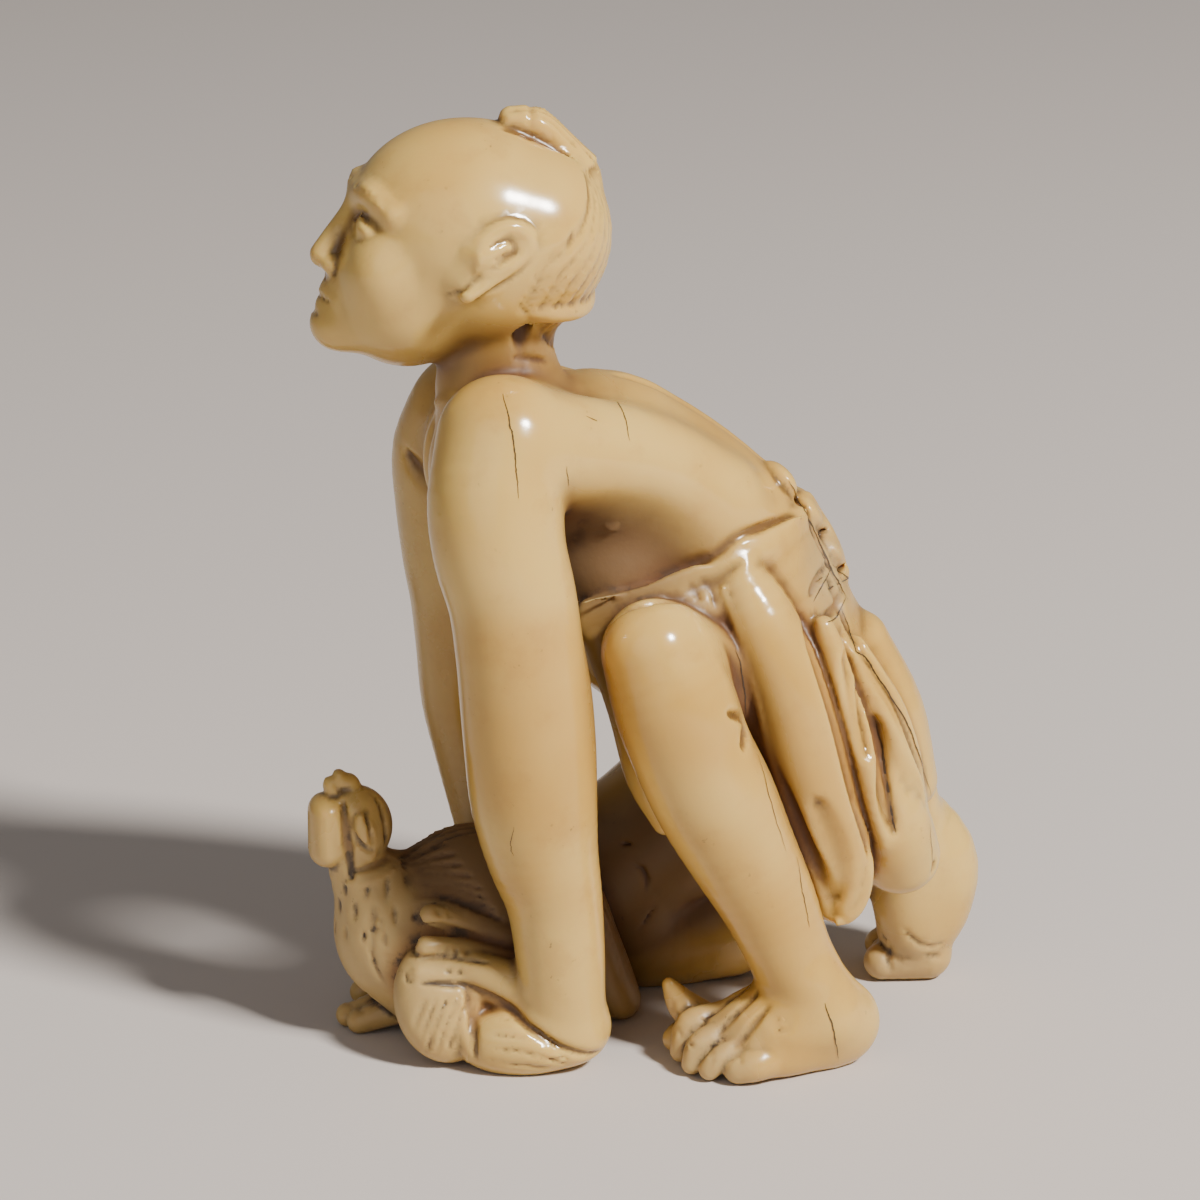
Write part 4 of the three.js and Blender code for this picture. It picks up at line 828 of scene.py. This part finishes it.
def thin(vertices, quads, most):
    """The vertices and triangles of the same surface, with fewer of them."""
    mesh = bpy.data.meshes.new("rough")
    mesh.from_pydata(vertices.tolist(), [], quads.tolist())
    holder = bpy.data.objects.new("rough", mesh)
    bpy.context.scene.collection.objects.link(holder)
    modifier = holder.modifiers.new("thin", "DECIMATE")
    modifier.ratio = min(1.0, most / (2 * len(quads)))
    thinned = bpy.data.meshes.new_from_object(holder.evaluated_get(bpy.context.evaluated_depsgraph_get()))
    thinned.calc_loop_triangles()
    points = np.array([v.co for v in thinned.vertices])
    faces = [tuple(t.vertices) for t in thinned.loop_triangles]
    bpy.data.objects.remove(holder)
    bpy.data.meshes.remove(mesh)
    bpy.data.meshes.remove(thinned)
    return points, faces


# ---------- the piece

# The ground cuts the clay flat: below it all is outside, and the first level above it is hardly inside.
below = LINES[2] < 0
clay[:, :, below] = 1
level = int(np.argmax(~below))
clay[:, :, level] = np.maximum(clay[:, :, level], -0.02)

vertices, quads = surface_net(clay)
vertices[:, 2] = np.maximum(vertices[:, 2], 0)
points, faces = thin(vertices, quads, MOST_TRIANGLES)

# Drying cracks: thin dark ribbons on the surface, as depth x, (y, z) points and width.
CRACKS = (
    (8.5, [(-5.8, 32.6), (-5.5, 31.4), (-5.3, 30.5), (-5.2, 29.1), (-5.1, 27.8)], 0.1),  # near shoulder
    (8, [(-0.9, 32.6), (-0.4, 31.5), (-0.1, 30.1)], 0.08),
    (8.5, [(-3, 29.2), (-2.9, 28.3)], 0.06),
    (5, TEARS[0], 0.13),
    (5, TEARS[1], 0.1),
    (5, TEARS[2], 0.1),
    (5, [(9.9, 23), (10.6, 22.4), (11.4, 22)], 0.09),
    (5, [(10.3, 20.9), (10.6, 20.1), (10.9, 18.9), (11.4, 18.5), (12.1, 17.3), (13.3, 15.4), (14, 13.7),
           (14.8, 11.4)], 0.12),  # robe
    (6.5, [(11.6, 16), (12, 14.1), (12.3, 12.1), (12.6, 10.5)], 0.2),
    (9.8, [(4.4, 20.8), (4.8, 19.1), (4.9, 17.7)], 0.09),  # near leg
    (10, [(5.4, 15.8), (5.9, 13.9), (6.7, 11.2)], 0.08),
    (10, [(7.2, 10.9), (7.5, 9.1), (7.8, 7.5)], 0.08),
    (4, [(14.7, 10), (14.9, 7.9)], 0.06),
    (9.3, [(8.7, 3.6), (9.1, 2.2), (9.4, 0.8)], 0.11),  # near heel
    (7.5, [(-5.2, 12.4), (-5.3, 11.6), (-5.2, 11)], 0.05),  # near arm
    (-7.5, [(-5, 27), (-5.2, 24.4), (-5, 22)], 0.08),  # far arm
    (-6, [(4, 20), (6, 16), (7.2, 12.5)], 0.09),  # far side of the robe
)
CRACK_LIFT = 0.02  # above the surface
CRACK_STRAY = 0.03  # sideways, at each of its points
CRACK_STEPS = 14  # points between two given ones


def slopes(places, width=0.1):
    """The direction in which the clay's distance grows, at places."""
    steps = width * np.eye(3)
    grown = np.stack([depth_at(places + e) - depth_at(places - e) for e in steps], 1)
    return grown / (np.linalg.norm(grown, axis=1)[:, None] + 1e-9)


def ribbon(x, path, width):
    """Vertices and quads of a crack: a strip on the surface, tapered at its ends, with an uneven course."""
    along = facing(1 if x > 0 else -1)
    along = along / np.linalg.norm(along)
    course = smooth_path([(x, y, z) for y, z in path], CRACK_STEPS)
    stray = np.convolve(rng.normal(0, CRACK_STRAY, len(course)), np.full(5, 0.3), "same")
    course[1:-1] += stray[1:-1, None] * (0, 1, 0.3)
    course = onto(course, along, 4)
    for _ in range(3):  # settles on the surface
        course -= slopes(course) * depth_at(course)[:, None]
    out = slopes(course)
    aside = np.cross(out, np.gradient(course, axis=0))
    aside /= np.linalg.norm(aside, axis=1)[:, None] + 1e-9
    share = np.clip(np.linspace(0, 1, len(course)), 0.02, 0.98)
    half = width / 3 * np.sin(np.pi * share) ** 0.5 * rng.uniform(0.7, 1.2, len(course))
    lifted = course + out * CRACK_LIFT
    strip = np.stack([lifted - aside * half[:, None], lifted + aside * half[:, None]], 1).reshape(-1, 3)
    left = 2 * np.arange(len(course) - 1)
    return strip, np.stack([left, left + 2, left + 3, left + 1], 1)


first_crack = len(points)
for crack in CRACKS:
    strip, ring = ribbon(*crack)
    faces += (ring + len(points)).tolist()
    points = np.vstack([points, strip])

carving = bpy.data.meshes.new("carving")
carving.from_pydata(((points - MIDDLE) / 1000).tolist(), [], faces)
carving.polygons.foreach_set("use_smooth", np.ones(len(carving.polygons), bool))
piece = bpy.data.objects.new("carving", carving)
bpy.context.scene.collection.objects.link(piece)

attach(piece, "root")
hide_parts("netsuke_carving")

# ---------- what the finish follows

# How much of a small cube about a point is solid: a half on a flat surface, more in a hollow, less on an
# edge. The cubes' widths, for narrow grooves, for broad hollows, and for places deep among the limbs.
WIDTHS = (0.7, 2.2, 7)

# Soft regions: strength, centre and radii. First painted shade, with some dark grime: brown laid where
# shadow falls deep under the man, among his limbs, on the bird's back, on the near flank and on the far
# arm.
PAINTED_SHADE = (
    (1, (0.4, -1, 6), (5, 8, 9)),  # among the limbs
    (1, (1.2, -6.5, 9.5), (3.4, 4, 3.2)),  # the bird's back
    (0.35, (5.2, -0.6, 24.2), (3, 3.4, 3)),  # near flank
    (0.25, (-4.6, -8, 19), (3, 3, 12)),  # far arm
)
# Then what was never rubbed bright.
DULLED = (
    (1, (0.8, -10, 5), (8, 5, 7.5)),  # bird and hands
    (1, (7.6, 4, 1), (3.5, 2.5, 2.5)),  # near toes
    (1, (-2, 14.5, 1), (3.5, 3, 2)),  # far toes
    (1, (5.2, -0.6, 24.6), (3, 3.4, 3)),  # near flank
    (1, (-4.8, -0.6, 23.8), (3, 3.4, 3)),  # far flank
    (1, (3.5, 10, 22.5), (3.5, 1.8, 2.5)),  # torn knot
)


def blurred(field, width):
    """The field averaged over a cube of the given width in millimetres."""
    reach = max(1, int(round(width / 2 / STEP)))
    count = 2 * reach + 1
    for axis in range(3):
        margins = [(reach + 1, reach) if a == axis else (0, 0) for a in range(3)]
        total = np.cumsum(np.pad(field, margins, "edge"), axis, dtype=np.float64)
        after = np.take(total, np.arange(count, total.shape[axis]), axis)
        before = np.take(total, np.arange(0, total.shape[axis] - count), axis)
        field = ((after - before) / count).astype(np.float32)
    return field


def within(places, regions):
    """The regions' strengths at places: full at a centre, falling softly to 0 a little beyond the radii."""
    total = np.zeros(len(places))
    for strength, centre, radii in regions:
        far = (((places - centre) / radii) ** 2).sum(1)
        total += strength * np.exp(-(far ** 2))
    return total


def ramp(values, low, high):
    """0 below low, 1 above high, and even between."""
    return np.clip((values - low) / (high - low), 0, 1)


def paint(name, red, green, blue):
    """Stores three masks on the mesh's points, as one colour attribute."""
    layer = carving.attributes.new(name, "FLOAT_COLOR", "POINT")
    colours = np.stack([red, green, blue, np.ones(len(points))], 1).astype(np.float32)
    layer.data.foreach_set("color", colours.ravel())


solid = np.clip(0.5 - clay / STEP, 0, 1)
fine, broad, wide = (depth_at(points, blurred(solid, width)) for width in WIDTHS)
# Painted shade, with some grime: where the clay is closed in by other parts, and in the shade regions, the
# surface is marked to be painted dark brown.
grime_and_painted_shade = np.clip(0.8 * ramp(wide, 0.42, 0.66) + within(points, PAINTED_SHADE), 0, 1)
is_crack = (np.arange(len(points)) >= first_crack).astype(float)
paint("hollows", ramp(fine, 0.506, 0.60), ramp(broad, 0.51, 0.74), grime_and_painted_shade)
paint("wear", np.clip(within(points, DULLED), 0, 1), ramp(0.5 - fine, 0.01, 0.12), is_crack)

# ---------- material

CREAM = (0.66, 0.44, 0.128)
HONEY = (0.55, 0.32, 0.068)
AMBER = (0.33, 0.135, 0.02)
BROWN = (0.085, 0.03, 0.01)
BONE = (0.42, 0.29, 0.125)
SOOT = (0.05, 0.028, 0.014)


def new_material(name, **inputs):
    """A material, and its shader with some of its inputs set."""
    material = bpy.data.materials.new(name)
    material.use_nodes = True
    shader = material.node_tree.nodes["Principled BSDF"]
    for key, value in inputs.items():
        shader.inputs[key.replace("_", " ")].default_value = value
    return material, shader


ivory, shader = new_material("ivory", IOR=1.54, Subsurface_Weight=0.3, Subsurface_Scale=0.001,
                             Subsurface_Radius=(1.0, 0.55, 0.25))
tree = ivory.node_tree


def node(kind, settings=None, **inputs):
    """A node with settings, and inputs given as numbers or as other nodes' outputs.

    An input goes by its name, or by _ and its number where names repeat.
    """
    made = tree.nodes.new(kind)
    for key, value in (settings or {}).items():
        setattr(made, key, value)
    for key, value in inputs.items():
        socket = made.inputs[int(key[1:])] if key[1:].isdigit() else made.inputs[key.replace("_", " ")]
        if isinstance(value, bpy.types.NodeSocket):
            tree.links.new(value, socket)
        else:
            socket.default_value = value
    return made


def times(a, b, clamp=False):
    return node("ShaderNodeMath", {"operation": "MULTIPLY", "use_clamp": clamp}, _0=a, _1=b).outputs[0]


def plus(a, b):
    return node("ShaderNodeMath", {"operation": "ADD"}, _0=a, _1=b).outputs[0]


def mixed(share, a, b):
    """Colour a turning into colour b."""
    given = [v if isinstance(v, bpy.types.NodeSocket) else (*v, 1) for v in (a, b)]
    return node("ShaderNodeMix", {"data_type": "RGBA"}, _0=share, _6=given[0], _7=given[1]).outputs[2]


def noise(scale, detail, stretch=(1, 1, 1)):
    """Noise in the piece's own space, in features per millimetre."""
    scales = tuple(1000 * scale * s for s in stretch)
    place = node("ShaderNodeMapping", Vector=coordinates, Scale=scales)
    made = node("ShaderNodeTexNoise", Vector=place.outputs[0], Scale=1.0, Detail=detail, Roughness=0.6)
    return made.outputs[0]


def stepped(value, low, high):
    """A soft step: 0 below low and 1 above high."""
    settings = {"clamp": True, "interpolation_type": "SMOOTHSTEP"}
    return node("ShaderNodeMapRange", settings, _0=value, _1=low, _2=high, _3=0.0, _4=1.0).outputs[0]


def painted(name):
    """The three masks of a colour attribute."""
    layer = node("ShaderNodeAttribute", {"attribute_name": name})
    return node("ShaderNodeSeparateColor", Color=layer.outputs["Color"]).outputs[:3]


coordinates = node("ShaderNodeTexCoord").outputs["Object"]
# The third mask of the hollows is painted shade with some grime, deep among the limbs.
recess, hollow, grime_and_shade = painted("hollows")
dullness, edge, crack = painted("wear")

patches = stepped(noise(0.09, 2.0), 0.38, 0.62)  # pale and honey-coloured areas, some 10 mm wide
grain = noise(0.5, 4.0, (1, 1, 0.12))  # the ivory's fibres stand upright
stain = stepped(noise(0.45, 5.0), 0.50, 0.72)
specks = stepped(noise(3.0, 2.0), 0.67, 0.72)
grime_map = stepped(noise(0.9, 5.0), 0.46, 0.60)
grime = times(grime_map, times(plus(recess, 0.03), plus(dullness, 0.2)))  # most in the dull parts' grooves

# Each coat lies over those before it: where it is, its strength and its colour.
coats = (
    (grain, 0.1, CREAM),
    (stain, 0.16, AMBER),
    (edge, 0.5, CREAM),
    (hollow, 0.95, AMBER),
    (recess, 0.75, BROWN),
    (dullness, 0.75, mixed(hollow, BONE, AMBER)),
    # painted shade with some grime: brown where shadow falls deep among the limbs
    (grime_and_shade, 0.8, BROWN),
    (grime, 0.9, SOOT),
    (times(specks, stain), 0.45, SOOT),
    (crack, 0.92, SOOT),
)
colour = mixed(patches, HONEY, CREAM)
for where, strength, coat in coats:
    colour = mixed(times(where, strength, clamp=True), colour, coat)
tree.links.new(colour, shader.inputs["Base Color"])

roughness = 0.12  # of the polished parts
for where, more in ((dullness, 0.28), (hollow, 0.2), (noise(0.8, 3.0), 0.12), (grime_and_shade, 0.35)):
    roughness = plus(times(where, more), roughness)
tree.links.new(roughness, shader.inputs["Roughness"])

bumpiness = plus(times(dullness, 1.2), 0.25)
relief = plus(times(noise(1.6, 4.0), bumpiness), times(grain, 0.06))
bump = node("ShaderNodeBump", Strength=0.25, Distance=0.00006, Height=relief)
tree.links.new(bump.outputs[0], shader.inputs["Normal"])
carving.materials.append(ivory)

# ---------- floor, light and camera

paper, _ = new_material("paper", Base_Color=(0.60, 0.55, 0.525, 1), Roughness=0.9)
bpy.ops.mesh.primitive_plane_add(size=4)
floor = bpy.context.object
floor.name = "floor"
floor.data.materials.append(paper)

world = bpy.data.worlds.new("room")
bpy.context.scene.world = world
world.use_nodes = True
background = world.node_tree.nodes["Background"]
background.inputs["Color"].default_value = (1.0, 0.95, 0.9, 1)
background.inputs["Strength"].default_value = 0.19


def put(name, data, place, ahead):
    """Puts a lamp or a camera in the scene, turned in a direction."""
    holder = bpy.data.objects.new(name, data)
    holder.location = place
    holder.rotation_mode = "QUATERNION"
    holder.rotation_quaternion = ahead.to_track_quat("-Z", "Y")
    bpy.context.scene.collection.objects.link(holder)
    return holder


def area_light(name, place, size, watts, colour):
    """A round lamp that shines on the netsuke."""
    lamp = bpy.data.lights.new(name, "AREA")
    lamp.shape = "DISK"
    lamp.size = size
    lamp.energy = watts
    lamp.color = colour
    put(name, lamp, place, Vector((0, 0, 0.02)) - Vector(place))


area_light("key", (0.33, 0.26, 0.41), 0.09, 6.4, (1.0, 0.96, 0.9))
area_light("fill", (0.4, -0.25, 0.25), 0.5, 0.4, (0.95, 0.97, 1.0))

# From the man's left and a little in front, from close by with a long lens.
azimuth, elevation, away = math.radians(80), math.radians(17), 0.220
looked_at = Vector((0, 0, 0.02035)) - Vector(MIDDLE / 1000)
level_part = math.cos(elevation)
back = Vector((math.sin(azimuth) * level_part, -math.cos(azimuth) * level_part, math.sin(elevation)))
camera = put("camera", bpy.data.cameras.new("camera"), looked_at + away * back, -back)
camera.data.lens = 143.5
camera.data.sensor_width = 36
camera.data.clip_start = 0.01
camera.data.clip_end = 10
bpy.context.scene.camera = camera
